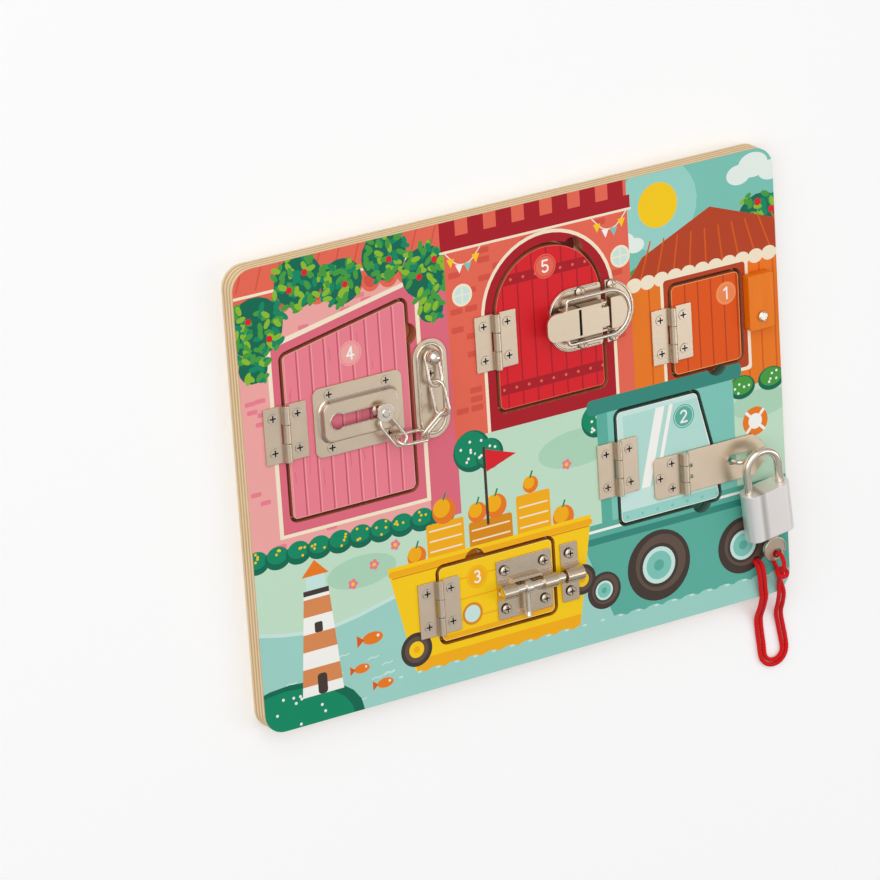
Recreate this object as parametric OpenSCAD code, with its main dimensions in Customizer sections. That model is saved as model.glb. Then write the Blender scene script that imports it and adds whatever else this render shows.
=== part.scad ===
// Wooden busy board with five hinged doors, each shut by a different lock.
// The board lies on its back. The origin is the centre of its underside,
// +X to the right of the picture, +Y to its top and +Z out of the printed face.
// Places on the board are counted from its lower left corner.

/* [Board] */
// Width of the board
board_w = 345; // [342:1:420]
// Height of the board
board_h = 265; // [250:1:340]
// Radius of the board's corners
board_r = 12; // [4:1:20]
// Thickness of the closed back panel
back_t = 4; // [3:0.5:8]
// Thickness of the front panel and of the doors cut from it
front_t = 8; // [7:0.5:14]
// Saw gap round each door
door_gap = 2.2; // [1.6:0.1:3]
// Corner radius of the doors
door_r = 3; // [1:0.5:5]
// Radius of the finger notches beside the doors
notch_r = 6.5; // [4.5:0.5:7]

/* [Doors] */
// Width of door 1, the small square door
door_1_w = 44.8; // [40:0.1:45.5]
// Height of door 1
door_1_h = 51.7; // [44:0.1:58]
// Width of door 2 at its foot
door_2_w = 65.5; // [58:0.1:67]
// Height of door 2
door_2_h = 65.5; // [56:0.1:70]
// Width of door 3, the long low door
door_3_w = 73; // [70:0.1:75]
// Height of door 3
door_3_h = 43; // [38:0.1:46]
// Width of door 4, the tall door
door_4_w = 76.9; // [72:0.1:77.5]
// Height of door 4 at its hinge side
door_4_h = 92.7; // [80:0.1:98]
// Rise of the slanted top of door 4
door_4_rise = 15.3; // [0:0.1:22]
// Width of door 5, the arched door
door_5_w = 67.5; // [66:0.1:68]
// Height of door 5 up to its arch
door_5_h = 53.5; // [46:0.1:60]

/* [Hinges] */
// Length of a hinge along its pin
hinge_len = 32; // [24:1:36]
// Width of one hinge leaf from the pin's axis
leaf_w = 13.2; // [11.5:0.1:14.5]
// Thickness of the sheet of the hinges
leaf_t = 1; // [0.8:0.1:1.4]
// Outside diameter of the knuckles
knuckle_d = 4.4; // [4:0.1:5]
// Diameter of the hinge pins
pin_d = 2.2; // [1.6:0.1:2.4]

/* [Screws] */
// Diameter of a countersunk screw's head
head_d = 5.6; // [4.6:0.1:6]
// Diameter of a round-headed screw's head
pan_d = 5.9; // [5:0.1:6.4]
// Diameter of a screw's shank
shank_d = 2.6; // [2:0.1:3]
// Depth that a screw reaches into the wood
screw_depth = 5.5; // [3:0.5:6]

/* [Turn latch] */
// Length of the wooden turn latch
latch_len = 32.4; // [26:0.1:34]
// Width of the turn latch
latch_w = 16.8; // [12:0.1:17.2]
// Thickness of the turn latch
latch_t = 5.5; // [4:0.5:8]

/* [Hasp and staple] */
// Width of the hasp
hasp_w = 24.4; // [20:0.1:26]
// Thickness of the hasp's sheet
hasp_t = 1.2; // [1:0.1:1.4]
// Length of the strap from the pin's axis
strap_len = 54.4; // [52:0.1:58]
// Length of the slot in the strap
slot_len = 17.2; // [16.4:0.1:20]
// Width of the slot in the strap
slot_w = 5.7; // [4.6:0.1:7]
// Diameter of the staple's wire
staple_wire = 2.6; // [2:0.1:3]
// Length of the staple's loop
staple_len = 15; // [14:0.1:15.2]
// Height of the staple's loop above the face
staple_h = 9.5; // [8.5:0.1:9.5]

/* [Padlock] */
// Width of the padlock's body
lock_w = 30.4; // [26:0.1:34]
// Height of the padlock's body
lock_h = 29.6; // [26:0.1:32]
// Thickness of the padlock's body
lock_t = 13.5; // [12.5:0.1:13.5]
// Diameter of the shackle
shackle_d = 4.8; // [4:0.1:4.8]
// Distance between the middles of the shackle's legs
shackle_span = 21.2; // [19:0.1:22]
// Height of the shackle's crown above the body
shackle_rise = 25.3; // [24:0.1:28]
// Diameter of the key's bow
bow_d = 14.6; // [12.5:0.1:15]
// Thickness of the key
key_t = 2; // [1.4:0.1:2.4]

/* [Barrel bolt] */
// Diameter of the bolt's rod
rod_d = 5.4; // [4.4:0.1:5.6]
// Length of the bolt's rod
rod_len = 41; // [38:0.1:42]
// Thickness of the bolt's sheet
bolt_t = 1; // [0.8:0.1:1.3]
// Width of the bolt's plate across the rod
bolt_plate_h = 34.5; // [32:0.1:36]
// Reach of the bolt's handle from the rod's axis
handle_reach = 17.2; // [14:0.1:18]

/* [Door chain] */
// Diameter of the chain's wire
chain_wire = 2; // [1.6:0.1:2]
// Outside length of a chain link
link_len = 22; // [21.8:0.1:22]
// Outside width of a chain link
link_w = 10; // [9.8:0.1:10]
// Length of the chain plate
chain_plate_w = 55.5; // [52:0.1:56]
// Height of the chain plate
chain_plate_h = 39.4; // [36:0.1:44]
// Height of the plate's raised middle
pan_h = 4.5; // [3.8:0.1:4.5]

/* [Toggle latch] */
// Length of the toggle's base plate
toggle_w = 34; // [33:0.1:34.3]
// Height of the toggle's base plate
toggle_h = 36.2; // [34:0.1:38]
// Diameter of the bail's wire
bail_d = 2.1; // [1.6:0.1:2.2]
// Distance between the middles of the bail's legs
bail_span = 25.8; // [24.6:0.1:26.4]
// Height of the lever above the face
lever_h = 9; // [9:0.1:11]

/* [Hidden] */
$fn = 48;

wood = "burlywood";
steel = "silver";
face_z = back_t + front_t;
running = 0.05;
rest_gap = 0.3;
pin_up = knuckle_d / 2;

// Hinges: the pin's X and the middle of the hinge in Y, for doors 1 to 5. The doors
// spread out with the board's width, and each lock is counted from its door's pin.
spread = board_w / 345;
PINS = [[272.9 * spread, 169.8], [233 * spread, 100.1], [113 * spread, 47.1],
    [25.4 * spread, 169.6], [159.2 * spread, 191.5]];
// Lower edge of each door.
DOOR_Y = [145.1, 66.5, 26.2, 119.6, 150.8];
screw_x = 7.6;
screw_y = 9.8;

// Door outlines, seen from above, corner by corner anticlockwise.
function door_x(n) = PINS[n - 1][0] + door_gap / 2;
function door_y(n) = DOOR_Y[n - 1];
function box_outline(n, w, h) = [
    [door_x(n), door_y(n)], [door_x(n) + w, door_y(n)],
    [door_x(n) + w, door_y(n) + h], [door_x(n), door_y(n) + h]
];
waist_2 = [0.935 * door_2_w, 0.48 * door_2_h];
head_2 = 0.81 * door_2_w;
function outline(n) =
    n == 1 ? box_outline(1, door_1_w, door_1_h) :
    n == 2 ? [
        [door_x(2), door_y(2)], [door_x(2) + door_2_w, door_y(2)],
        [door_x(2) + waist_2[0], door_y(2) + waist_2[1]],
        [door_x(2) + head_2, door_y(2) + door_2_h], [door_x(2), door_y(2) + door_2_h]
    ] :
    n == 3 ? box_outline(3, door_3_w, door_3_h) :
    n == 4 ? [
        [door_x(4), door_y(4)], [door_x(4) + door_4_w, door_y(4)],
        [door_x(4) + door_4_w, door_y(4) + door_4_h + door_4_rise],
        [door_x(4), door_y(4) + door_4_h]
    ] :
    box_outline(5, door_5_w, door_5_h);
arch_r = door_5_w / 2;
// Angle up the arch at which its finger notch sits.
arch_notch_a = 59;
function notch_at(n) =
    n == 1 ? [door_x(1) + 0.63 * door_1_w, door_y(1)] :
    n == 2 ? [door_x(2) + 0.82 * door_2_w, door_y(2)] :
    n == 3 ? [door_x(3) + 0.32 * door_3_w, door_y(3) + door_3_h] :
    n == 4 ? [door_x(4) + door_4_w, door_y(4) + 0.95 * door_4_h] :
    [door_x(5) + arch_r * (1 + cos(arch_notch_a)), door_y(5) + door_5_h + arch_r * sin(arch_notch_a)];

// Turn latch: its pivot and how far its tail reaches past the pivot.
LATCH_AT = [door_x(1) + door_1_w + door_gap + 9.1, 169.1];
latch_tail = 7.7;
latch_head_d = 6;

// Hasp: the pin's X and the middle in Y; all of its parts are counted from here.
HASP_AT = [PINS[1][0] + 43, 87.1];
hasp_leaf_w = 19.9;
hasp_knuckle_d = 5;
hasp_up = hasp_knuckle_d / 2 + 0.1;
hasp_pin_d = 2.4;
slot_x = 38.1;
hasp_window = [5, 9.8];
chamfer_in = 2;
chamfer_out = 7.6;

// Padlock: the middle of its lower edge, its turn in the picture's plane and its
// tilt, which lifts the shackle over the staple.
lock_turn = 8.3;
lock_tilt = 6.2;
LOCK_AT = [HASP_AT[0] + 51.4, 40.75];
lock_up = rest_gap + lock_t / 2 + 0.5;
lock_r = 6.4;
lock_bore_deep = 19;
lock_bore_short = 6;
key_x = 1.8;
plug_d = 9;
plug_len = 12;
key_neck = 4.4;
bow_y = -11.6;
bow_hole = [1, -3.2];
bow_hole_d = 5.8;

// Bolt: the rod's axis and the left edge of the plate.
BOLT_AT = [PINS[2][0] + 37.2, 47.1];
bolt_w = 35.5;
bolt_bridge = 8.9;
barrel_wall = 1.6;
eye_wall = 1.1;
rod_up = bolt_t + rod_d / 2 + eye_wall + 0.1;
rod_start = 0.5;
handle_at = 17;
handle_d = 2.8;
eye_w = 4;
KEEPER_X = BOLT_AT[0] + 41.9;
keeper_w = 11;
keeper_clear = 0.3;
bolt_screw_x = 5;
bolt_screw_y = 11.3;

// Chain plate on door 4, with its keyhole slot, and the anchor on the frame.
CHAIN_AT = [PINS[3][0] + 45.1, 170.2];
sheet_t = 1.2;
pan_w = 46.2;
pan_tall = 21.6;
slot_from = -14.8;
slot_to = 9.4;
runner_slot_w = 7.4;
entry_d = 9.6;
runner_x = 12.1;
runner_neck_d = 4.4;
runner_head_d = 10.4;
runner_foot_d = 8.6;
chain_screw = [17.8, 15.2];
ANCHOR_AT = [PINS[3][0] + 91.1, 174.2];
anchor_w = 21.2;
anchor_h = 56.8;
stud_y = 19.1;
stud_neck_d = 3.6;
stud_head_d = 8.6;
anchor_screw_y = [8.6, -19.7];

// The chain as it lies: where each pair of links hooks together, from the stud to
// the runner, counted from the anchor's middle on the face, and each link's roll.
CHAIN_POINTS = [
    [0, 21.1, 2.6], [0.9, 3.5, 5.2], [2.7, -12.7, 7.5],
    [-9.8, -22.9, 7], [-25.5, -21.7, 8.4], [-32.8, -10.3, 6.9]
];
CHAIN_ROLLS = [0, 50, -45, 60, -1];

// Toggle latch on door 5.
TOGGLE_AT = [PINS[4][0] + 34.3, 192.9];
toggle_pivot = [32, 5.5];
lever_from = -6;
lever_w = 17.2;
lever_t = 1.5;
flange_t = 1.2;
flange_from = 5;
bail_x = 9.5;
bail_z = 4.5;
bail_end = 37;
ear_w = 1.2;
toggle_pin_d = 1.8;
strike_w = 18;
STRIKE_X = TOGGLE_AT[0] + 36.9;
hook_h = 6;
hook_r = 11;
hook_w = 18;

// Red cord that ties the key to the board: it leaves its hole, turns back beyond
// the board's lower edge, passes through the key's bow and returns the same way.
// Its points are counted from the hole in X.
cord_d = 2.6;
CORD_HOLE = [LOCK_AT[0] - 4.7, 21.8];
cord_hole_d = 6.4;
CORD_SIDES = 8;
CORD_POINTS = [
    [1.4, 21.9, 5.5], [1.4, 21.9, 10.8], [1.5, 21.1, 13.7], [1.5, 19.1, 15.7], [1.6, 16.2, 16.5],
    [2.4, 11, 15.9], [3.4, 5.5, 14.5], [4.4, 0, 13.5], [5.6, -8, 9], [7, -17, 3],
    [8.2, -26, 1.5], [9, -34, 1.5], [9.3, -39.5, 1.5], [10.1, -42.6, 1.5], [12.4, -44.9, 1.5],
    [15.5, -45.7, 1.5], [18.6, -44.9, 1.5], [20.9, -42.6, 1.5], [21.7, -39.5, 1.5], [21, -34, 1.5],
    [19.7, -26, 1.5], [17.6, -17, 3], [15.3, -8, 9], [13.4, 0, 13.6], [12.2, 6, 15.4],
    [11.1, 12, 19.5], [10.2, 17.8, 23.7], [10.2, 20.6, 24.7], [10.3, 23.5, 24.1], [10.3, 25.7, 22.1],
    [10.3, 26.6, 19.3], [10.3, 25.9, 16.4], [10.4, 23.9, 14.3], [10.4, 21, 13.5], [12.4, 15, 13.4],
    [14.3, 8, 13.4], [16.5, 0, 13.5], [18.7, -8, 9], [20.9, -17, 3], [22.9, -26, 1.5],
    [24.2, -34, 1.5], [24.6, -39.5, 1.5], [23.4, -44, 1.5], [20.1, -47.4, 1.5], [15.5, -48.6, 1.5],
    [11, -47.4, 1.5], [7.6, -44, 1.5], [6.4, -39.5, 1.5], [5.9, -34, 1.5], [5.1, -26, 1.5],
    [4, -17, 3], [2.7, -8, 9], [1.4, 0, 13.5], [0.4, 5.5, 14.5], [-0.6, 11, 15.9],
    [-1.5, 16.2, 16.5], [-1.5, 19.1, 15.7], [-1.5, 21.1, 13.7], [-1.5, 21.9, 10.8], [-1.5, 21.9, 5.5]
];
KNOT_AT = [10.6, 15.2, 21.9];
KNOT_TURN = [0, 53, 100];
knot_r = 2.8;

// ---------- shared shapes ----------

module on_board() translate([-board_w / 2, -board_h / 2, 0]) children();

module rounded_square(w, h, r) {
    square([w - 2 * r, h], center = true);
    square([w, h - 2 * r], center = true);
    for (x = [-1, 1], y = [-1, 1])
        translate([x * (w / 2 - r), y * (h / 2 - r)]) circle(r);
}

module plate(w, h, r, t) linear_extrude(t) rounded_square(w, h, r);

// A convex outline with its corners rounded to r, then grown outwards by grow.
function unit(v) = v / norm(v);
function edge_normal(a, b) = let (d = unit(b - a)) [d[1], -d[0]];
function corner_centre(p, a, b, r) =
    let (u = unit(a - p), v = unit(b - p), half = acos(u * v) / 2)
    p + unit(u + v) * r / sin(half);
module rounded_outline(pts, r, grow = 0) {
    n = len(pts);
    centres = [for (i = [0:n - 1])
        corner_centre(pts[i], pts[(i + n - 1) % n], pts[(i + 1) % n], r)];
    polygon([for (i = [0:n - 1], side = [0, 1])
        centres[i] + (r + grow) * (side == 0
            ? edge_normal(pts[(i + n - 1) % n], pts[i])
            : edge_normal(pts[i], pts[(i + 1) % n]))]);
    for (c = centres) translate(c) circle(r + grow);
}

module door_shape(n, grow = 0) {
    rounded_outline(outline(n), door_r, grow);
    if (n == 5)
        translate([door_x(5) + arch_r, door_y(5) + door_5_h]) circle(arch_r + grow);
}

// Screws point down into the wood from the plate's top, which is seat above the face.
module cross_recess(size) for (a = [0, 90])
    rotate([0, 0, a]) translate([-size / 2, -0.4, -0.9]) cube([size, 0.8, 2]);
module countersunk_screw(seat) difference() {
    union() {
        translate([0, 0, seat - 1]) cylinder(h = 1, d1 = shank_d, d2 = head_d);
        translate([0, 0, seat]) cylinder(h = 0.3, d = head_d);
        translate([0, 0, -screw_depth]) cylinder(h = screw_depth + seat - 0.5, d = shank_d);
    }
    translate([0, 0, seat + 0.3]) cross_recess(head_d * 0.66);
}
module round_screw(seat) difference() {
    union() {
        translate([0, 0, seat]) cylinder(h = 1, d = pan_d);
        translate([0, 0, seat + 1]) cylinder(h = 0.8, d1 = pan_d, d2 = pan_d * 0.7);
        translate([0, 0, -screw_depth]) cylinder(h = screw_depth + seat + 0.5, d = shank_d);
    }
    translate([0, 0, seat + 1.8]) cross_recess(pan_d * 0.6);
}
module pilot() translate([0, 0, -screw_depth - running])
    cylinder(h = screw_depth + 20, d = shank_d + 2 * running);
module countersink(seat) {
    translate([0, 0, seat - 1 - running]) cylinder(h = 1 + running, d1 = shank_d, d2 = head_d + 0.15);
    translate([0, 0, seat - running]) cylinder(h = 5, d = head_d + 0.15);
    pilot();
}
module at(points) for (p = points) translate([p[0], p[1], 0]) children();

// Screw places, as lists of [x, y].
function around(c, x, y) = [for (i = [-1, 1], j = [-1, 1]) [c[0] + i * x, c[1] + j * y]];
function hinge_side(n, side) = [for (j = [-1, 1])
    [PINS[n - 1][0] + side * screw_x, PINS[n - 1][1] + j * screw_y]];
HASP_SCREWS = [for (p = [[-8, 7.4], [-16, 0], [-8, -7.4]]) [HASP_AT[0] + p[0], HASP_AT[1] + p[1]]];
BOLT_SCREWS = [for (x = [bolt_screw_x, bolt_w - bolt_screw_x], j = [-1, 1])
    [BOLT_AT[0] + x, BOLT_AT[1] + j * bolt_screw_y]];
KEEPER_SCREWS = [for (j = [-1, 1]) [KEEPER_X + keeper_w / 2, BOLT_AT[1] + j * bolt_screw_y]];
CHAIN_SCREWS = around(CHAIN_AT, chain_screw[0], chain_screw[1]);
ANCHOR_SCREWS = [for (y = anchor_screw_y) [ANCHOR_AT[0], ANCHOR_AT[1] + y]];
TOGGLE_SCREWS = [for (j = [-1, 1]) [TOGGLE_AT[0] + toggle_w * 0.6, TOGGLE_AT[1] + j * (toggle_h / 2 - 3.1)]];
STRIKE_SCREWS = [for (j = [-1, 1]) [STRIKE_X + 4, TOGGLE_AT[1] + j * (toggle_h / 2 - 3.1)]];
FRAME_SCREWS = concat(ANCHOR_SCREWS, STRIKE_SCREWS);

// ---------- board ----------

module back_panel() color(wood) plate(board_w, board_h, board_r, back_t);

module front_panel() color("mediumaquamarine") on_board() difference() {
    translate([board_w / 2, board_h / 2, back_t]) plate(board_w, board_h, board_r, front_t);
    for (n = [1:5]) translate([0, 0, back_t - 1]) linear_extrude(front_t + 2) {
        door_shape(n, door_gap);
        translate(notch_at(n)) circle(notch_r);
    }
    translate([0, 0, face_z]) {
        for (n = [1:5]) at(hinge_side(n, -1)) pilot();
        at(FRAME_SCREWS) pilot();
        at(KEEPER_SCREWS) pilot();
        at([LATCH_AT]) pilot();
        at(staple_legs()) translate([0, 0, -screw_depth - running])
            cylinder(h = 20, d = staple_wire + 2 * running);
    }
    translate([CORD_HOLE[0], CORD_HOLE[1], back_t - 1]) cylinder(h = front_t + 2, d = cord_hole_d);
}

module door(n, screws, tint) color(tint) on_board() difference() {
    translate([0, 0, back_t + rest_gap]) linear_extrude(front_t - rest_gap) door_shape(n);
    translate([0, 0, face_z]) at(concat(hinge_side(n, 1), screws)) pilot();
}
module door_1() door(1, [], "orangered");
module door_2() door(2, HASP_SCREWS, "paleturquoise");
module door_3() door(3, BOLT_SCREWS, "gold");
module door_4() door(4, CHAIN_SCREWS, "hotpink");
module door_5() door(5, TOGGLE_SCREWS, "crimson");

// ---------- hinges ----------

// side is -1 for the leaf on the frame and 1 for the leaf on the door; rows are
// the stretches of the pin that its knuckles take.
knuckle_gap = 0.3;
third = hinge_len / 3;
FRAME_ROWS = [[-hinge_len / 2, -third / 2 - knuckle_gap / 2], [third / 2 + knuckle_gap / 2, hinge_len / 2]];
DOOR_ROWS = [[-third / 2 + knuckle_gap / 2, third / 2 - knuckle_gap / 2]];
module along_y(y0, y1, d) translate([0, y0, pin_up]) rotate([-90, 0, 0]) cylinder(h = y1 - y0, d = d);
module hinge_leaf(n, side, rows) color(steel) on_board() difference() {
    translate([PINS[n - 1][0], PINS[n - 1][1], face_z]) difference() {
        union() {
            inner = knuckle_d / 2 + 0.4;
            translate([side * (inner + leaf_w) / 2, 0, 0])
                plate(leaf_w - inner, hinge_len, 0.8, leaf_t);
            for (r = rows) {
                along_y(r[0], r[1], knuckle_d);
                translate([side > 0 ? 0 : -inner - 1, r[0], 0]) cube([inner + 1, r[1] - r[0], leaf_t]);
            }
        }
        along_y(-hinge_len, hinge_len, pin_d + 2 * running);
    }
    translate([0, 0, face_z]) at(hinge_side(n, side)) countersink(leaf_t);
}
module hinge_frame_leaf(n) hinge_leaf(n, -1, FRAME_ROWS);
module hinge_door_leaf(n) hinge_leaf(n, 1, DOOR_ROWS);
module hinge_pin(n) color("darkgray") on_board()
    translate([PINS[n - 1][0], PINS[n - 1][1], face_z]) along_y(-hinge_len / 2, hinge_len / 2, pin_d);

// ---------- screws ----------

module screws(points, seat) color(steel) on_board()
    translate([0, 0, face_z]) at(points) countersunk_screw(seat);
module pan_screws(points, seat) color(steel) on_board()
    translate([0, 0, face_z]) at(points) round_screw(seat);
module hinge_frame_screws() for (n = [1:5]) screws(hinge_side(n, -1), leaf_t);
module lock_frame_screws() {
    screws(ANCHOR_SCREWS, sheet_t);
    pan_screws(STRIKE_SCREWS, sheet_t);
    pan_screws(KEEPER_SCREWS, bolt_t);
}
module door_1_screws() screws(hinge_side(1, 1), leaf_t);
module door_2_screws() {
    screws(hinge_side(2, 1), leaf_t);
    screws(HASP_SCREWS, hasp_t);
}
module door_3_screws() {
    screws(hinge_side(3, 1), leaf_t);
    pan_screws(BOLT_SCREWS, bolt_t);
}
module door_4_screws() {
    screws(hinge_side(4, 1), leaf_t);
    screws(CHAIN_SCREWS, sheet_t);
}
module door_5_screws() {
    screws(hinge_side(5, 1), leaf_t);
    pan_screws(TOGGLE_SCREWS, sheet_t);
}

// ---------- turn latch of door 1, shown turned clear of the door ----------

module turn_latch() color("darkorange") on_board()
    translate([LATCH_AT[0], LATCH_AT[1], face_z + rest_gap]) difference() {
        translate([0, latch_len / 2 - latch_tail, 0]) plate(latch_w, latch_len, 1.5, latch_t);
        translate([0, 0, -1]) cylinder(h = latch_t + 2, d = shank_d + 2 * running);
    }
module turn_latch_screw() color("white") on_board() translate([LATCH_AT[0], LATCH_AT[1], face_z]) {
    translate([0, 0, -screw_depth]) cylinder(h = screw_depth + latch_t + 1, d = shank_d);
    translate([0, 0, latch_t + 2 * rest_gap]) cylinder(h = 1, d = latch_head_d);
    translate([0, 0, latch_t + 2 * rest_gap + 1])
        cylinder(h = 0.6, d1 = latch_head_d, d2 = latch_head_d * 0.72);
}

// ---------- hasp, staple and padlock of door 2 ----------

function staple_legs() = [for (i = [-1, 1])
    [HASP_AT[0] + slot_x + i * (staple_len - staple_wire) / 2, HASP_AT[1]]];
module at_hasp() on_board() translate([HASP_AT[0], HASP_AT[1], face_z]) children();
module hasp_cylinder(y0, y1, d)
    translate([0, y0, hasp_up]) rotate([-90, 0, 0]) cylinder(h = y1 - y0, d = d);
hasp_row = 4.9;

module hasp_leaf() color(steel) difference() {
    at_hasp() difference() {
        union() {
            linear_extrude(hasp_t) polygon([
                [-2.9, -hasp_w / 2], [-2.9, hasp_w / 2], [-hasp_leaf_w + chamfer_in, hasp_w / 2],
                [-hasp_leaf_w, hasp_w / 2 - chamfer_in], [-hasp_leaf_w, -hasp_w / 2 + chamfer_in],
                [-hasp_leaf_w + chamfer_in, -hasp_w / 2]
            ]);
            for (j = [-1, 1]) {
                y0 = j > 0 ? hasp_row + 0.15 : -hasp_w / 2;
                y1 = j > 0 ? hasp_w / 2 : -hasp_row - 0.15;
                hasp_cylinder(y0, y1, hasp_knuckle_d);
                translate([-3.5, y0, 0]) cube([3.5, y1 - y0, hasp_t]);
            }
        }
        hasp_cylinder(-hasp_w, hasp_w, hasp_pin_d + 2 * running);
    }
    on_board() translate([0, 0, face_z]) at(HASP_SCREWS) countersink(hasp_t);
}
module hasp_strap() color(steel) at_hasp() difference() {
    union() {
        translate([0, 0, rest_gap]) linear_extrude(hasp_t) polygon([
            [2.9, -hasp_w / 2], [strap_len - chamfer_out, -hasp_w / 2],
            [strap_len, -hasp_w / 2 + chamfer_out], [strap_len, hasp_w / 2 - chamfer_out],
            [strap_len - chamfer_out, hasp_w / 2], [2.9, hasp_w / 2]
        ]);
        hasp_cylinder(-hasp_row + 0.15, hasp_row - 0.15, hasp_knuckle_d);
        translate([0, -hasp_row + 0.15, rest_gap]) cube([3.5, 2 * hasp_row - 0.3, hasp_t]);
    }
    hasp_cylinder(-hasp_w, hasp_w, hasp_pin_d + 2 * running);
    translate([slot_x, 0, 0]) plate(slot_len, slot_w, slot_w / 2 - 0.01, 5);
    for (j = [-1, 1]) translate([3.7, j * (hasp_row - 1.6) - 1, 0]) cube([1.9, 2, 5]);
}
module hasp_pin() color("darkgray") at_hasp() hasp_cylinder(-hasp_w / 2, hasp_w / 2, hasp_pin_d);
module hasp_staple() color(steel) at_hasp() translate([slot_x, 0, 0]) {
    bend = 3;
    half = (staple_len - staple_wire) / 2;
    top = staple_h - staple_wire / 2;
    for (i = [-1, 1]) {
        translate([i * half, 0, -screw_depth])
            cylinder(h = screw_depth + top - bend, d = staple_wire);
        translate([i * (half - bend), 0, top - bend]) rotate([90, 0, 0])
            rotate([0, 0, i > 0 ? 0 : 90]) rotate_extrude(angle = 90)
                translate([bend, 0]) circle(d = staple_wire);
    }
    translate([-half + bend, 0, top]) rotate([0, 90, 0])
        cylinder(h = 2 * (half - bend), d = staple_wire);
}

// The padlock's own frame: X across it, Y up to its shackle, Z out of its front.
module at_padlock() on_board() translate([LOCK_AT[0], LOCK_AT[1], face_z + lock_up])
    rotate([lock_tilt, 0, 0]) rotate([0, 0, lock_turn]) children();
module lock_bore(y0, y1, d) rotate([-90, 0, 0]) translate([0, 0, y0]) cylinder(h = y1 - y0, d = d);

module padlock_body() color("gainsboro") at_padlock() difference() {
    rotate([-90, 0, 0]) plate(lock_w, lock_t, lock_r, lock_h);
    translate([-shackle_span / 2, 0, 0]) lock_bore(lock_h - lock_bore_short, lock_h + 1, shackle_d + 2 * running);
    translate([shackle_span / 2, 0, 0]) lock_bore(lock_h - lock_bore_deep, lock_h + 1, shackle_d + 2 * running);
    translate([key_x, 0, 0]) lock_bore(-1, plug_len, plug_d + 2 * running);
}
module padlock_shackle() color("whitesmoke") at_padlock() {
    half = shackle_span / 2;
    bend_y = lock_h + shackle_rise - shackle_d / 2 - half;
    translate([-half, 0, 0]) lock_bore(lock_h - lock_bore_short + 0.5, bend_y, shackle_d);
    translate([half, 0, 0]) lock_bore(lock_h - lock_bore_deep + 0.5, bend_y, shackle_d);
    translate([0, bend_y, 0]) rotate_extrude(angle = 180) translate([half, 0]) circle(d = shackle_d);
}
module padlock_plug() color("goldenrod") at_padlock() translate([key_x, 0, 0]) difference() {
    lock_bore(0, plug_len - 0.5, plug_d);
    translate([-3.4, -1, -key_t / 2 - 0.1]) cube([6.8, plug_len - 1, key_t + 0.2]);
}
module key() color("silver") at_padlock() translate([key_x, 0, -key_t / 2]) difference() {
    union() {
        translate([-3.3, bow_y / 2, 0]) cube([6.6, plug_len - 2.5 - bow_y / 2, key_t]);
        translate([-key_neck / 2 - 1, bow_y, 0]) cube([key_neck + 2, -bow_y / 2 + 1, key_t]);
        translate([0, bow_y, 0]) cylinder(h = key_t, d = bow_d);
    }
    translate([bow_hole[0], bow_y + bow_hole[1], -1]) cylinder(h = key_t + 2, d = bow_hole_d);
}

// ---------- red cord of the key ----------

// A tube swept along points: each ring stands square to the path there.
function tangent(p, i) = unit(p[min(i + 1, len(p) - 1)] - p[max(i - 1, 0)]);
function side_axis(t) = unit(cross(t, abs(t[2]) > 0.9 ? [0, 1, 0] : [0, 0, 1]));
function ring(p, i, d) =
    let (t = tangent(p, i), s = side_axis(t), u = cross(s, t))
    [for (k = [0:CORD_SIDES - 1]) let (a = 360 * k / CORD_SIDES)
        p[i] + d / 2 * (cos(a) * s + sin(a) * u)];
module tube(p, d) {
    n = len(p);
    rings = [for (i = [0:n - 1], v = ring(p, i, d)) v];
    sides = [for (i = [0:n - 2], k = [0:CORD_SIDES - 1])
        let (a = i * CORD_SIDES + k, b = i * CORD_SIDES + (k + 1) % CORD_SIDES)
        [a, b, b + CORD_SIDES, a + CORD_SIDES]];
    ends = [
        [for (k = [CORD_SIDES - 1:-1:0]) k],
        [for (k = [0:CORD_SIDES - 1]) (n - 1) * CORD_SIDES + k]
    ];
    polyhedron(concat(rings, [p[0], p[n - 1]]), concat(sides, ends));
}
module at_cord() on_board() translate([CORD_HOLE[0], 0, 0]) children();
module key_cord() color("red") at_cord() tube(CORD_POINTS, cord_d);
module key_cord_knot() color("red") at_cord() translate(KNOT_AT) rotate(KNOT_TURN)
    rotate_extrude() translate([knot_r, 0]) circle(d = cord_d, $fn = 16);

// ---------- barrel bolt of door 3 ----------

module at_bolt() on_board() translate([BOLT_AT[0], BOLT_AT[1], face_z]) children();
module along_x(x0, x1, z, d) translate([x0, 0, z]) rotate([0, 90, 0]) cylinder(h = x1 - x0, d = d);
// A pressed half-round barrel over the rod, from x0 to x1, with its feet on the plate.
module barrel(x0, x1, bore) difference() {
    outer = rod_d + 2 * barrel_wall;
    union() {
        along_x(x0, x1, rod_up, outer);
        translate([x0, -outer / 2, bolt_t / 2]) cube([x1 - x0, outer, rod_up - bolt_t / 2]);
        translate([x0, -outer / 2 - 1.2, bolt_t / 2]) cube([x1 - x0, outer + 2.4, bolt_t / 2 + 0.9]);
    }
    along_x(x0 - 1, x1 + 1, rod_up, bore);
}
module bolt_plate() color(steel) difference() {
    at_bolt() union() {
        difference() {
            translate([bolt_w / 2, 0, 0]) plate(bolt_w, bolt_plate_h, 0.8, bolt_t);
            along_x(-1, bolt_w + 1, rod_up, rod_d + 2 * running);
        }
        barrel(0, bolt_bridge, rod_d + 2 * running);
        barrel(bolt_w - bolt_bridge, bolt_w, rod_d + 2 * running);
        translate([bolt_bridge - 0.5, rod_d / 2 + eye_wall + 0.5, bolt_t / 2])
            cube([bolt_w - 2 * bolt_bridge + 1, 1.6, rod_up - 0.6]);
    }
    on_board() translate([0, 0, face_z]) at(BOLT_SCREWS) pilot();
}
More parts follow.
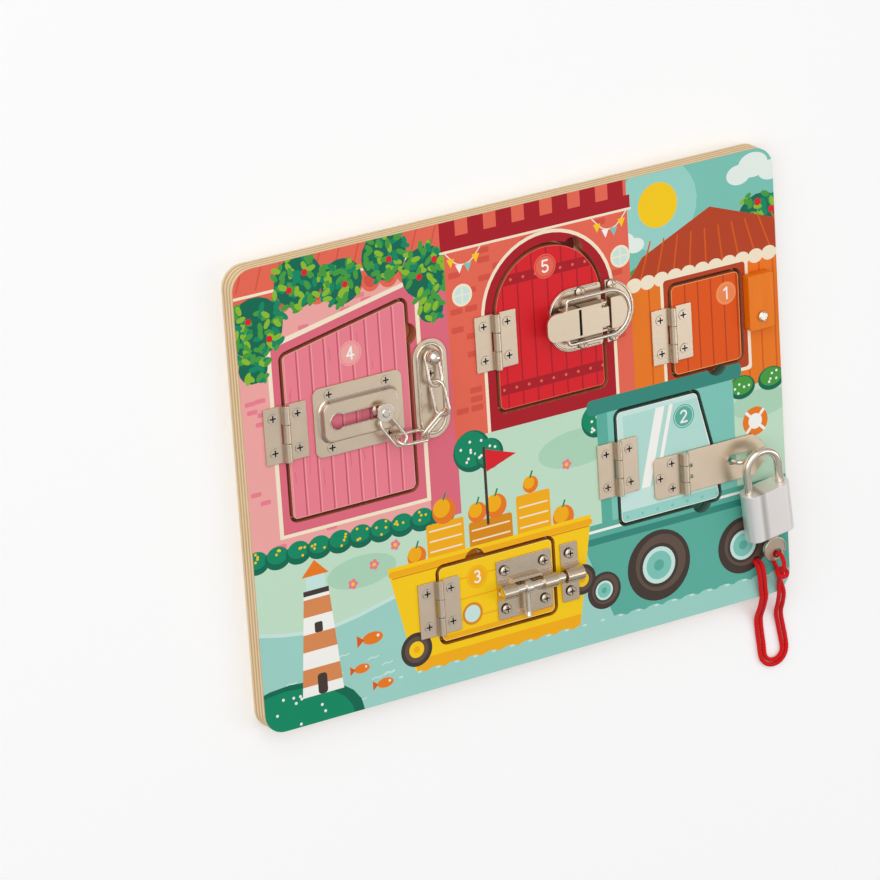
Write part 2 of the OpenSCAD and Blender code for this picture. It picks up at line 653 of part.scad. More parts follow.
module bolt_rod() color("whitesmoke") at_bolt() {
    along_x(rod_start, rod_start + rod_len - 0.8, rod_up, rod_d);
    translate([rod_start + rod_len - 0.8, 0, rod_up]) rotate([0, 90, 0])
        cylinder(h = 0.8, d1 = rod_d, d2 = rod_d - 1.6);
}
module bolt_handle() color("whitesmoke") at_bolt() translate([handle_at, 0, 0]) {
    difference() {
        union() {
            along_x(-eye_w / 2, eye_w / 2, rod_up, rod_d + 2 * eye_wall);
            translate([0, 0, rod_up]) rotate([90, 0, 0]) cylinder(h = handle_reach, d = handle_d);
        }
        along_x(-eye_w, eye_w, rod_up, rod_d + 2 * running);
    }
    translate([0, -handle_reach, rod_up]) rotate([90, 0, 0])
        rotate([180, 0, 0]) cylinder(h = 2.5, d1 = handle_d + 1.4, d2 = handle_d);
}
module bolt_keeper() color(steel) difference() {
    at_bolt() translate([KEEPER_X - BOLT_AT[0], 0, 0]) union() {
        difference() {
            translate([keeper_w / 2, 0, 0]) plate(keeper_w, bolt_plate_h, 0.8, bolt_t);
            along_x(-1, keeper_w + 1, rod_up, rod_d + 2 * keeper_clear);
        }
        barrel(0, keeper_w, rod_d + 2 * keeper_clear);
    }
    on_board() translate([0, 0, face_z]) at(KEEPER_SCREWS) pilot();
}

// ---------- door chain of door 4 ----------

module at_chain() on_board() translate([CHAIN_AT[0], CHAIN_AT[1], face_z]) children();
module chain_plate() color(steel) difference() {
    at_chain() difference() {
        union() {
            plate(chain_plate_w, chain_plate_h, 4.5, sheet_t);
            plate(pan_w, pan_tall, 5, pan_h);
        }
        translate([0, 0, -1]) plate(pan_w - 2 * sheet_t, pan_tall - 2 * sheet_t, 3.8, pan_h - sheet_t + 1);
        translate([slot_from, 0, 0]) cylinder(h = 10, d = entry_d);
        translate([slot_from, -runner_slot_w / 2, 0]) cube([runner_x - slot_from, runner_slot_w, 10]);
        translate([runner_x, 0, 0]) cylinder(h = 10, d = runner_slot_w);
    }
    on_board() translate([0, 0, face_z]) at(CHAIN_SCREWS) countersink(sheet_t);
}
module chain_runner() color("whitesmoke") at_chain() translate([runner_x, 0, 0]) {
    foot_z = 0.9;
    translate([0, 0, foot_z]) cylinder(h = 1.6, d = runner_foot_d);
    translate([0, 0, foot_z + 1]) cylinder(h = pan_h - foot_z, d = runner_slot_w - 0.6);
    translate([0, 0, pan_h]) cylinder(h = 4, d = runner_neck_d);
    translate([0, 0, pan_h + 3.9]) cylinder(h = 1.4, d = runner_head_d);
    translate([0, 0, pan_h + 5.3]) cylinder(h = 0.6, d1 = 5, d2 = 4);
}
// A link is an oval ring of wire: two straight sides and two half rounds.
module chain_link() {
    half = (link_w - chain_wire) / 2;
    run = link_len / 2 - link_w / 2;
    for (s = [-1, 1]) {
        translate([-run, s * half, 0]) rotate([0, 90, 0]) cylinder(h = 2 * run, d = chain_wire);
        translate([s * run, 0, 0]) rotate([0, 0, s > 0 ? -90 : 90])
            rotate_extrude(angle = 180) translate([half, 0]) circle(d = chain_wire);
    }
}
module chain_links() color("silver") on_board() translate([ANCHOR_AT[0], ANCHOR_AT[1], face_z])
    for (i = [0:len(CHAIN_ROLLS) - 1]) {
        d = CHAIN_POINTS[i + 1] - CHAIN_POINTS[i];
        translate((CHAIN_POINTS[i] + CHAIN_POINTS[i + 1]) / 2)
            rotate([0, 0, atan2(d[1], d[0])])
                rotate([0, -atan2(d[2], norm([d[0], d[1]])), 0])
                    rotate([CHAIN_ROLLS[i], 0, 0]) chain_link();
    }
module chain_anchor_plate() color(steel) difference() {
    on_board() translate([ANCHOR_AT[0], ANCHOR_AT[1], face_z]) {
        plate(anchor_w, anchor_h, anchor_w / 2 - 0.01, sheet_t);
    }
    on_board() translate([0, 0, face_z]) at(ANCHOR_SCREWS) countersink(sheet_t);
    on_board() translate([ANCHOR_AT[0], ANCHOR_AT[1] + stud_y, face_z - 1])
        cylinder(h = 5, d = stud_neck_d + 2 * running);
}
module chain_anchor_stud() color("whitesmoke") on_board()
    translate([ANCHOR_AT[0], ANCHOR_AT[1] + stud_y, face_z]) {
        cylinder(h = 6, d = stud_neck_d);
        intersection() {
            translate([0, 0, 5.5]) sphere(d = stud_head_d);
            translate([0, 0, 5]) cylinder(h = 10, d = stud_head_d + 1);
        }
    }

// ---------- toggle latch of door 5 ----------

module at_toggle() on_board() translate([TOGGLE_AT[0], TOGGLE_AT[1], face_z]) children();
module across(x, z, half, d) translate([x, half, z]) rotate([90, 0, 0]) cylinder(h = 2 * half, d = d);
ear_y = lever_w / 2 - flange_t - 0.3 - ear_w;
module toggle_base() color(steel) difference() {
    at_toggle() union() {
        round_end = toggle_h / 2 - 4;
        linear_extrude(sheet_t) {
            translate([round_end, -toggle_h / 2]) square([toggle_w - round_end - 2, toggle_h]);
            translate([0, -4]) square([toggle_w, 8]);
            for (j = [-1, 1]) {
                translate([round_end, j * 4]) circle(round_end);
                translate([toggle_w - 2, j * (toggle_h / 2 - 2)]) circle(2);
            }
            translate([toggle_w - 4, -toggle_h / 2 + 2]) square([4, toggle_h - 4]);
        }
        for (j = [0, 1]) mirror([0, j, 0]) difference() {
            union() {
                translate([toggle_pivot[0] - 1.8, ear_y, sheet_t / 2])
                    cube([3.6, ear_w, toggle_pivot[1] - sheet_t / 2]);
                translate([toggle_pivot[0], ear_y + ear_w, toggle_pivot[1]]) rotate([90, 0, 0])
                    cylinder(h = ear_w, d = 3.6);
            }
            across(toggle_pivot[0], toggle_pivot[1], toggle_h / 2, toggle_pin_d + 2 * running);
        }
    }
    on_board() translate([0, 0, face_z]) at(TOGGLE_SCREWS) pilot();
}
module toggle_lever() color(steel) at_toggle() difference() {
    union() {
        top_z = lever_h - lever_t;
        tab_r = 6;
        // finger tab with its rounded end
        translate([lever_from, 0, top_z]) linear_extrude(lever_t) {
            translate([tab_r, -lever_w / 2 + 0.4]) square([20, lever_w - 0.8]);
            translate([0, -2.2]) square([tab_r, 4.4]);
            for (j = [-1, 1]) translate([tab_r, j * (lever_w / 2 - 0.4 - tab_r)]) circle(tab_r);
        }
        // cover over the pivot, narrow where it passes between the ears
        translate([flange_from, -lever_w / 2, top_z])
            cube([toggle_pivot[0] - 2.6 - flange_from, lever_w, lever_t]);
        translate([toggle_pivot[0] - 4, -ear_y + 0.3, top_z]) cube([6, 2 * ear_y - 0.6, lever_t]);
        for (j = [0, 1]) mirror([0, j, 0]) translate([0, lever_w / 2 - flange_t, 0]) {
            translate([flange_from, 0, 2.9])
                cube([toggle_pivot[0] - flange_from, flange_t, lever_h - 2.9 - lever_t / 2]);
            translate([toggle_pivot[0], flange_t, toggle_pivot[1]]) rotate([90, 0, 0])
                cylinder(h = flange_t, d = 5.2);
        }
    }
    across(toggle_pivot[0], toggle_pivot[1], toggle_h / 2, toggle_pin_d + 2 * running);
    across(bail_x, bail_z, toggle_h / 2, bail_d + 2 * running);
    translate([lever_from + 20.6, -lever_w / 2 + 1.2, lever_h - 0.9]) cube([1.6, lever_w - 2.4, 2]);
}
module toggle_pin() color("darkgray") at_toggle()
    across(toggle_pivot[0], toggle_pivot[1], lever_w / 2 + 0.4, toggle_pin_d);
module toggle_bail() color("whitesmoke") at_toggle() {
    half = bail_span / 2;
    bend = 2;
    turn_x = bail_end;
    for (j = [0, 1]) mirror([0, j, 0]) {
        translate([bail_x + bend, half, bail_z]) rotate([0, 90, 0])
            cylinder(h = turn_x - bail_x - bend, d = bail_d);
        translate([bail_x + bend, half - bend, bail_z]) rotate([0, 0, 90])
            rotate_extrude(angle = 90) translate([bend, 0]) circle(d = bail_d);
        translate([bail_x, half - bend, bail_z]) rotate([90, 0, 0])
            cylinder(h = half - bend - lever_w / 2 + flange_t + 0.4, d = bail_d);
    }
    translate([turn_x, 0, bail_z]) rotate([0, 0, -90])
        rotate_extrude(angle = 180) translate([half, 0]) circle(d = bail_d);
}
module toggle_strike() color(steel) difference() {
    on_board() translate([STRIKE_X, TOGGLE_AT[1], face_z]) union() {
        linear_extrude(sheet_t) intersection() {
            circle(toggle_h / 2);
            translate([0, -toggle_h]) square([strike_w, 2 * toggle_h]);
        }
        linear_extrude(hook_h) intersection() {
            circle(hook_r);
            translate([0.4, -hook_w / 2]) square([hook_r, hook_w]);
        }
    }
    on_board() translate([0, 0, face_z]) at(STRIKE_SCREWS) pilot();
}

back_panel();
front_panel();
door_1();
door_2();
door_3();
door_4();
door_5();
for (n = [1:5]) {
    hinge_frame_leaf(n);
    hinge_door_leaf(n);
    hinge_pin(n);
}
hinge_frame_screws();
lock_frame_screws();
door_1_screws();
door_2_screws();
door_3_screws();
door_4_screws();
door_5_screws();
turn_latch();
turn_latch_screw();
hasp_leaf();
hasp_strap();
hasp_pin();
hasp_staple();
padlock_body();
padlock_shackle();
padlock_plug();
key();
key_cord();
key_cord_knot();
bolt_plate();
bolt_rod();
bolt_handle();
bolt_keeper();
chain_plate();
chain_runner();
chain_links();
chain_anchor_plate();
chain_anchor_stud();
toggle_base();
toggle_lever();
toggle_pin();
toggle_bail();
toggle_strike();
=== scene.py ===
import math
import random

import bpy
import numpy as np
from mathutils import Euler, Matrix, Vector
from mathutils.geometry import delaunay_2d_cdt


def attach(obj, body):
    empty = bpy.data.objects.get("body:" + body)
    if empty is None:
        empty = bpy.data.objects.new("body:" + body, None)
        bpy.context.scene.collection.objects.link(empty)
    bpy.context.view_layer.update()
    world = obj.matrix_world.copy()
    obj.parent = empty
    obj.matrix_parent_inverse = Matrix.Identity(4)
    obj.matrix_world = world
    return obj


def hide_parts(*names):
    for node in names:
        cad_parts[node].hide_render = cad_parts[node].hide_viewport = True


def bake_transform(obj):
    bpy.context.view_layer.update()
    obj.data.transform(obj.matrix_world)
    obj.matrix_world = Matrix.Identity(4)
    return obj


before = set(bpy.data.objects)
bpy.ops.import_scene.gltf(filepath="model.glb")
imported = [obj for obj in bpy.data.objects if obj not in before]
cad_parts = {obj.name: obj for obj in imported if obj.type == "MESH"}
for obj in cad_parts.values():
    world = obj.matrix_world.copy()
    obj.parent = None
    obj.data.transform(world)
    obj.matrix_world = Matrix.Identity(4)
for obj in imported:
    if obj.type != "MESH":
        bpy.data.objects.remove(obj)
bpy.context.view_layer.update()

# ---------- view ----------
# The board lies on a pale table and is seen from its upper left, a long way off,
# so that its edges stay nearly parallel. The table takes its shadow.

scene = bpy.context.scene
scene.view_settings.view_transform = "Standard"
camera = bpy.data.objects.new("camera", bpy.data.cameras.new("camera"))
scene.collection.objects.link(camera)
scene.camera = camera
camera.data.sensor_width, camera.data.lens = 36, 225
camera.location = (-1.45771, 1.01315, 2.46268)
camera.rotation_euler = [math.radians(a) for a in (-17.4583, -31.0208, -4.1032)]


class Shade:
    """A socket of a material's node tree that can stand in a sum or a product."""

    def __init__(self, finish, socket):
        self.finish, self.socket = finish, socket

    def __add__(self, other): return self.finish.maths("ADD", self, other)
    def __radd__(self, other): return self.finish.maths("ADD", other, self)
    def __sub__(self, other): return self.finish.maths("SUBTRACT", self, other)
    def __rsub__(self, other): return self.finish.maths("SUBTRACT", other, self)
    def __mul__(self, other): return self.finish.maths("MULTIPLY", self, other)
    def __rmul__(self, other): return self.finish.maths("MULTIPLY", other, self)
    def __gt__(self, other): return self.finish.maths("GREATER_THAN", self, other)
    def __lt__(self, other): return self.finish.maths("LESS_THAN", self, other)


class Finish:
    """One material, or a world, built node by node; surface() gives it its shader."""

    def __init__(self, name, holders=bpy.data.materials):
        self.material = holders.new(name)
        self.material.use_nodes = True
        self.tree = self.material.node_tree
        self.tree.nodes.clear()

    def node(self, kind, settings, sockets, out=0):
        made = self.tree.nodes.new(kind)
        for key, value in settings.items():
            if key == "stops":
                ramp = made.color_ramp.elements
                while len(ramp) < len(value):
                    ramp.new(0.5)
                for stop, (place, colour) in zip(ramp, value):
                    stop.position, stop.color = place, (*colour, 1)
            else:
                setattr(made, key, value)
        for key, value in sockets.items():
            if isinstance(value, Shade):
                self.tree.links.new(value.socket, made.inputs[key])
            else:
                made.inputs[key].default_value = value
        return Shade(self, made.outputs[out]) if made.outputs else None

    def maths(self, operation, a, b=0.0):
        return self.node("ShaderNodeMath", {"operation": operation}, {0: a, 1: b})

    def mix(self, a, b, factor):
        a, b = [(*c, 1) if isinstance(c, tuple) and len(c) == 3 else c for c in (a, b)]
        return self.node("ShaderNodeMix", {"data_type": "RGBA"}, {0: factor, 6: a, 7: b}, 2)

    def place(self):
        return self.node("ShaderNodeTexCoord", {}, {}, "Object")

    def parts(self, vector):
        split = self.node("ShaderNodeSeparateXYZ", {}, {0: vector})
        return [Shade(self, s) for s in split.socket.node.outputs]

    def stretched(self, vector, scale):
        return self.node("ShaderNodeVectorMath", {"operation": "MULTIPLY"}, {0: vector, 1: scale})

    def noise(self, vector, scale, detail):
        return self.node("ShaderNodeTexNoise", {},
                         {"Vector": vector, "Scale": scale, "Detail": detail})

    def bump(self, height, strength, distance, normal=None):
        sockets = {"Height": height, "Strength": strength, "Distance": distance}
        if normal is not None:
            sockets["Normal"] = normal
        return self.node("ShaderNodeBump", {}, sockets)

    def surface(self, **sockets):
        names = {name.replace("_", " "): value for name, value in sockets.items()}
        if isinstance(names.get("Base Color"), tuple):
            names["Base Color"] = (*names["Base Color"], 1)
        shader = self.node("ShaderNodeBsdfPrincipled", {}, names)
        self.node("ShaderNodeOutputMaterial", {}, {0: shader})
        return self.material


def paint(*chart):
    """A colour given as a paint chart gives it, 0 to 255, as the shader wants it."""
    return tuple(c / 12.92 if c <= 0.04045 else ((c + 0.055) / 1.055) ** 2.4
                 for c in (value / 255 for value in chart))


table_top = -0.0002
table = bpy.data.objects.new("table", bpy.data.meshes.new("table"))
table.data.from_pydata(
    [(x, y, table_top) for x, y in ((-6, -6), (6, -6), (6, 6), (-6, 6))], [], [(0, 1, 2, 3)])
scene.collection.objects.link(table)
top = Finish("table_top")
seen = top.node("ShaderNodeLightPath", {}, {}, "Is Camera Ray")
matt = top.node("ShaderNodeBsdfDiffuse", {}, {"Color": (0.9, 0.9, 0.9, 1)})
glow = top.node("ShaderNodeEmission", {}, {"Color": (1, 1, 1, 1), "Strength": seen * 0.14})
both = top.node("ShaderNodeAddShader", {}, {0: matt, 1: glow})
top.node("ShaderNodeOutputMaterial", {}, {0: both})
table.data.materials.append(top.material)

room = Finish("room", bpy.data.worlds)
scene.world = room.material
way = room.parts(room.node("ShaderNodeTexCoord", {}, {}, "Generated"))
walls = room.node("ShaderNodeValToRGB", {"stops": [
    (height, (grey, grey, grey))
    for height, grey in ((0.0, 0.5), (0.5, 0.1), (0.62, 0.42), (0.85, 0.5), (1.0, 0.75))]},
    {0: way[2] * 0.5 + way[1] * 0.12 + 0.5})
air = room.node("ShaderNodeBackground", {}, {"Color": walls, "Strength": 1.0})
room.node("ShaderNodeOutputWorld", {}, {0: air})


def lamp(name, stand, size, watts):
    """A soft rectangular lamp that faces the middle of the board."""
    data = bpy.data.lights.new(name, "AREA")
    data.shape, data.size, data.size_y, data.energy = "RECTANGLE", size[0], size[1], watts
    lit = bpy.data.objects.new(name, data)
    scene.collection.objects.link(lit)
    lit.location = stand
    lit.rotation_euler = (-Vector(stand)).to_track_quat("-Z", "Y").to_euler()


lamp("window", (-1.6, 1.4, 2.3), (4.4, 3.6), 56)
lamp("strip", (1.6, -0.4, 1.5), (0.5, 1.6), 6)

# ---------- key cord ----------
# A red twisted polyester cord, 347 mm long and doubled. Both ends go into a hole in the
# board's corner; its loop passes through the key's bow and is held by a turn of cord.
# It is one cord, parted in five where it passes from one moving part to the next
# between board and key.

MM = 0.001
half_w, half_h = 172.5, 132.5


def spot(x, y, z):
    """A place counted in millimetres from the board's lower left corner, in metres."""
    return Vector(((x - half_w) * MM, (y - half_h) * MM, z * MM))


def smooth_way(points, steps):
    """A smooth line through points, with steps to each stretch."""
    last, line = len(points) - 1, []
    for i in range(last):
        a, b, c, d = (points[min(max(i + k, 0), last)] for k in (-1, 0, 1, 2))
        for k in range(steps):
            t = k / steps
            line.append(0.5 * (2 * b + (c - a) * t + (2 * a - 5 * b + 4 * c - d) * t ** 2
                               + (3 * b - a - 3 * c + d) * t ** 3))
    return line + [points[-1]]


def even(line, step):
    """The same line with its points the same distance apart."""
    gone, far = [0.0], 0.0
    for a, b in zip(line, line[1:]):
        far += (b - a).length
        gone.append(far)
    count, out, i = max(2, round(far / step)), [], 0
    for k in range(count + 1):
        want = far * k / count
        while i < len(gone) - 2 and gone[i + 1] < want:
            i += 1
        out.append(line[i].lerp(line[i + 1], (want - gone[i]) / max(gone[i + 1] - gone[i], 1e-9)))
    return out


def add_mesh(name, verts, faces, smooth=True):
    mesh = bpy.data.meshes.new(name)
    mesh.from_pydata(verts, [], faces)
    mesh.validate()
    if smooth:
        mesh.polygons.foreach_set("use_smooth", [True] * len(mesh.polygons))
    made = bpy.data.objects.new(name, mesh)
    scene.collection.objects.link(made)
    return made


def tube(line, radius, sides, closed=False, lay=None):
    """A round wire or cord along a line. lay(turn, length) gives the height of its
    strands as a share of the radius, from the angle round it and the way along it."""
    n, verts, faces, far = len(line), [], [], 0.0
    side = None
    for i, p in enumerate(line):
        before = line[i - 1] if closed or i else p
        after = line[(i + 1) % n] if closed or i < n - 1 else p
        forward = (after - before).normalized()
        if side is None:
            side = forward.orthogonal().normalized()
        side = (side - forward * side.dot(forward)).normalized()
        up = side.cross(forward)
        if i:
            far += (p - line[i - 1]).length
        for k in range(sides):
            turn = 2 * math.pi * k / sides
            r = radius * (1 + (lay(turn, far) if lay else 0))
            verts.append(p + (side * math.cos(turn) + up * math.sin(turn)) * r)
    for i in range(n if closed else n - 1):
        for k in range(sides):
            a, b = i * sides + k, i * sides + (k + 1) % sides
            c, d = (b + sides) % (n * sides), (a + sides) % (n * sides)
            faces.append((a, d, c, b))
    if not closed:
        faces.append(tuple(range(sides)))
        faces.append(tuple((n - 1) * sides + k for k in reversed(range(sides))))
    return verts, faces


cord_d = 2.6 * MM
hole_x = 322.7
cord_points = [spot(hole_x + x, y, z) for x, y, z in (
    (1.4, 21.9, 5.5), (1.4, 21.9, 10.8), (1.5, 21.1, 13.7), (1.5, 19.1, 15.7), (1.6, 16.2, 16.5),
    (2.4, 11, 15.9), (3.4, 5.5, 14.5), (4.4, 0, 13.5), (5.6, -8, 9), (7, -17, 3), (8.2, -26, 1.5),
    (9, -34, 1.5), (9.3, -39.5, 1.5), (10.1, -42.6, 1.5), (12.4, -44.9, 1.5), (15.5, -45.7, 1.5),
    (18.6, -44.9, 1.5), (20.9, -42.6, 1.5), (21.7, -39.5, 1.5), (21, -34, 1.5), (19.7, -26, 1.5),
    (17.6, -17, 3), (15.3, -8, 9), (13.4, 0, 13.6), (12.2, 6, 15.4), (11.1, 12, 19.5),
    (10.2, 17.8, 23.7), (10.2, 20.6, 24.7), (10.3, 23.5, 24.1), (10.3, 25.7, 22.1),
    (10.3, 26.6, 19.3), (10.3, 25.9, 16.4), (10.4, 23.9, 14.3), (10.4, 21, 13.5), (12.4, 15, 13.4),
    (14.3, 8, 13.4), (16.5, 0, 13.5), (18.7, -8, 9), (20.9, -17, 3), (22.9, -26, 1.5),
    (24.2, -34, 1.5), (24.6, -39.5, 1.5), (23.4, -44, 1.5), (20.1, -47.4, 1.5), (15.5, -48.6, 1.5),
    (11, -47.4, 1.5), (7.6, -44, 1.5), (6.4, -39.5, 1.5), (5.9, -34, 1.5), (5.1, -26, 1.5),
    (4, -17, 3), (2.7, -8, 9), (1.4, 0, 13.5), (0.4, 5.5, 14.5), (-0.6, 11, 15.9),
    (-1.5, 16.2, 16.5), (-1.5, 19.1, 15.7), (-1.5, 21.1, 13.7), (-1.5, 21.9, 10.8),
    (-1.5, 21.9, 5.5))]
strand_turn = 2 * math.pi / (5.2 * MM)


def twisted(turn, far):
    """Three strands laid round each other, each with its own fine yarns."""
    strand = abs(math.cos(1.5 * (turn - strand_turn * far)))
    yarn = math.sin(9 * (turn + strand_turn * far * 2.3))
    return -0.15 + 0.17 * strand ** 0.6 + 0.02 * yarn


cord_line = even(smooth_way(cord_points, 8), 0.45 * MM)
cord_sides = 24
cord_verts, cord_faces = tube(cord_line, cord_d / 2, cord_sides, lay=twisted)


def stretch(name, first, last):
    """The cord from one ring of its tube to another, closed at both ends."""
    down = first * cord_sides
    top = (last - first) * cord_sides
    made = add_mesh(
        name, cord_verts[down:(last + 1) * cord_sides],
        [tuple(i - down for i in f) for f in cord_faces[down:last * cord_sides]]
        + [tuple(range(cord_sides)), tuple(range(top + cord_sides - 1, top - 1, -1))])
    for end in made.data.polygons[-2:]:
        end.use_smooth = False
    return made


red = Finish("red_cord")
fuzz = red.noise(red.place(), 1800, 3)
red_cord = red.surface(
    Base_Color=red.mix(paint(198, 4, 10), paint(236, 14, 18), fuzz),
    Roughness=0.66 + 0.2 * fuzz, Specular_IOR_Level=0.25, Sheen_Weight=0.08, Sheen_Roughness=0.5,
    Normal=red.bump(fuzz, 0.5, 0.0002))

knot_at, knot_turn, knot_r = spot(hole_x + 10.6, 15.2, 21.9), (0, 53, 100), 2.8 * MM
tilt = Euler([math.radians(a) for a in knot_turn]).to_matrix()
ring = [knot_at + tilt @ (Vector((math.cos(a), math.sin(a), 0)) * knot_r)
        for a in (2 * math.pi * k / 72 for k in range(72))]
knot = add_mesh("key_cord_turn", *tube(ring, cord_d / 2, cord_sides, closed=True, lay=twisted))
knot.data.materials.append(red_cord)
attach(knot, "padlock")
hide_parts("key_cord_knot")
cuts = [min(range(len(cord_line)), key=lambda i: (cord_line[i] - spot(hole_x + x, y, z)).length)
        for x, y, z in ((15.5, -45.7, 1.5), (13.4, 0, 13.6), (16.5, 0, 13.5), (15.5, -48.6, 1.5))]
cuts = [0, *cuts, len(cord_line) - 1]
for name, k, bodies, y0, y1, leaves in (
        ("key_cord_end_a", 0, ("board", "door_2"), 12, -40, 0),
        ("key_cord_end_b", 4, ("board", "door_2"), 12, -40, 1),
        ("key_cord_rise_a", 1, ("door_2", "hasp_strap"), -40, -1.5, 0),
        ("key_cord_rise_b", 3, ("door_2", "hasp_strap"), -40, -1.5, 1),
        ("key_cord_loop", 2, ("hasp_strap", "padlock"), 1.5, 10.5, 0)):
    first, last = cuts[k:k + 2]
    piece = stretch(name, first, last)
    piece.data.materials.append(red_cord)
    spot(hole_x, y0, 0)
    spot(hole_x, y1, 0)
    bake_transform(piece)
    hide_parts("key_cord")
    line = cord_line[first:last + 1]
    sum((b - a).length for a, b in zip(line, line[1:]))
    line[:-1:3] + line[-1:]
    [knot] if k == 2 else []

# ---------- door chain ----------
# Five oval links of bright steel wire, each bent round and butt welded, hooked one
# through the next from the anchor's ball to the runner. In use the first three give
# as door 4 swings and the other two as the runner slides; here they are built as
# two pieces, of three links and of two.


def metal(name, colour, rough, grain, depth=0.00004, slit=None):
    """Plated or polished metal with fine scratches along grain and softened edges. In
    a slit, from one X to another below a height in mm, it is painted dark as shade."""
    m = Finish(name)
    place = m.place()
    cloud = m.noise(place, 70, 3)
    scratch = m.noise(m.stretched(place, grain), 700, 3)
    edge = m.node("ShaderNodeBevel", {"samples": 6}, {"Radius": 0.0004})
    tone = m.mix(tuple(0.88 * c for c in colour), colour, cloud)
    if slit:
        x, y, z = m.parts(place)
        left, right, top = slit
        # Painted shade: the colour goes near black inside the slit.
        dark = (x > (left - half_w) * MM) * (x < (right - half_w) * MM) * (z < top * MM)
        tone = m.mix(tone, (0.03, 0.025, 0.02), dark)
    return m.surface(
        Base_Color=tone,
        Metallic=1.0, Roughness=(rough - 0.08) + 0.1 * scratch + 0.08 * cloud,
        Normal=m.bump(scratch, 0.12, depth, edge))


bright = metal("bright_steel", (0.87, 0.78, 0.67), 0.2, (1, 1, 1), 0.000004)
wire_d, link_len, link_w = 2 * MM, 22 * MM, 10 * MM
anchor_x, anchor_y, face = 116.5, 174.2, 12
chain_points = [spot(anchor_x + x, anchor_y + y, face + z) for x, y, z in (
    (0, 21.1, 2.6), (0.9, 3.5, 5.2), (2.7, -12.7, 7.5), (-9.8, -22.9, 7), (-25.5, -21.7, 8.4),
    (-32.8, -10.3, 6.9))]
chain_rolls = (0, 50, -45, 60, -1)
bend_r = (link_w - wire_d) / 2
half_run = (link_len - link_w) / 2
oval = [Vector((side * half_run + bend_r * math.cos(a), bend_r * math.sin(a), 0))
        for side, start in ((1, -90), (-1, 90))
        for a in (math.radians(start + 15 * k) for k in range(13))]


def welded(turn, far):
    """A slight swelling where the link's ends are welded, half way up one side."""
    return 0.07 * math.exp(-((far - math.pi * bend_r - half_run) / (0.7 * MM)) ** 2)


for name, first, last, bodies in (
        ("chain_links_to_anchor", 0, 3, ("board", "door_4")),
        ("chain_links_to_runner", 3, 5, ("door_4", "chain_runner"))):
    verts, faces = [], []
    for i in range(first, last):
        a, b = chain_points[i:i + 2]
        way = b - a
        turned = (Matrix.Rotation(math.atan2(way.y, way.x), 3, "Z")
                  @ Matrix.Rotation(-math.atan2(way.z, way.xy.length), 3, "Y")
                  @ Matrix.Rotation(math.radians(chain_rolls[i]), 3, "X"))
        v, f = tube([(a + b) / 2 + turned @ p for p in even(oval + oval[:1], 0.8 * MM)[:-1]],
                    wire_d / 2, 16, closed=True, lay=welded)
        faces += [tuple(len(verts) + k for k in loop) for loop in f]
        verts += v
    chain = add_mesh(name, verts, faces)
    chain.data.materials.append(bright)
    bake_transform(chain)
    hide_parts("chain_links")

# ---------- board ----------
# An 8 mm plywood front with five doors sawn out by laser, glued on a thin plywood
# back. The sawn edges are scorched and stained with the ink beside them; the outer
# edges are sanded and pale.

veneer_t = 1.6
rim_x, rim_y = 158, 124
steamer_x, steamer_y, barge_y = 35, 10, -50


def plywood(name, scorched):
    """Birch plywood: long grain on its faces and veneers on its edges. Where scorched,
    its sawn edges are brown, teal round door 2 and golden round door 3."""
    m = Finish(name)
    place = m.place()
    x, y, z = m.parts(place)
    grain = m.noise(m.stretched(place, (0.12, 1, 1)), 160, 6)
    rings = m.noise(m.stretched(place, (0.06, 1, 1)), 34, 3)
    timber = m.mix(paint(222, 188, 142), paint(246, 222, 182), grain * 0.6 + rings * 0.4)
    veneer = m.maths("FRACT", z * (1 / (2 * veneer_t * MM))) > 0.5
    edge = m.mix(paint(242, 216, 172), paint(206, 164, 116), veneer * (0.6 + 0.4 * grain))
    if scorched:
        inner = (m.maths("ABSOLUTE", x) < rim_x * MM) * (m.maths("ABSOLUTE", y) < rim_y * MM)
        right = x > steamer_x * MM
        stain = m.mix(paint(206, 122, 86), paint(96, 138, 124), right * (y < steamer_y * MM))
        stain = m.mix(stain, paint(214, 140, 34), (1 - right) * (y < barge_y * MM))
        burnt = m.mix(stain, (0.02, 0.014, 0.01), 0.06 + 0.26 * veneer * (0.5 + 0.5 * grain))
        edge = m.mix(edge, burnt, inner)
    up = m.parts(m.node("ShaderNodeTexCoord", {}, {}, "Normal"))[2]
    lying = m.maths("ABSOLUTE", up) > 0.5
    return m.surface(Base_Color=m.mix(edge, timber, lying), Roughness=0.55 + 0.15 * grain,
                     Normal=m.bump(grain, 0.18, 0.0002))


def finish_nodes(material, *nodes):
    for node in nodes:
        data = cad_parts[node].data
        data.materials.clear()
        data.materials.append(material)


doors = [f"door_{n}" for n in range(1, 6)]
finish_nodes(plywood("back_plywood", False), "back_panel")
finish_nodes(plywood("sawn_plywood", True), "front_panel", *doors)

# ---------- printed picture ----------
# A harbour street printed on the sawn front in flat inks under a satin varnish. Every
# door carries its own piece of it, so that the picture runs on. Each shape lies over
# those before it, and one with a door is on that door only.

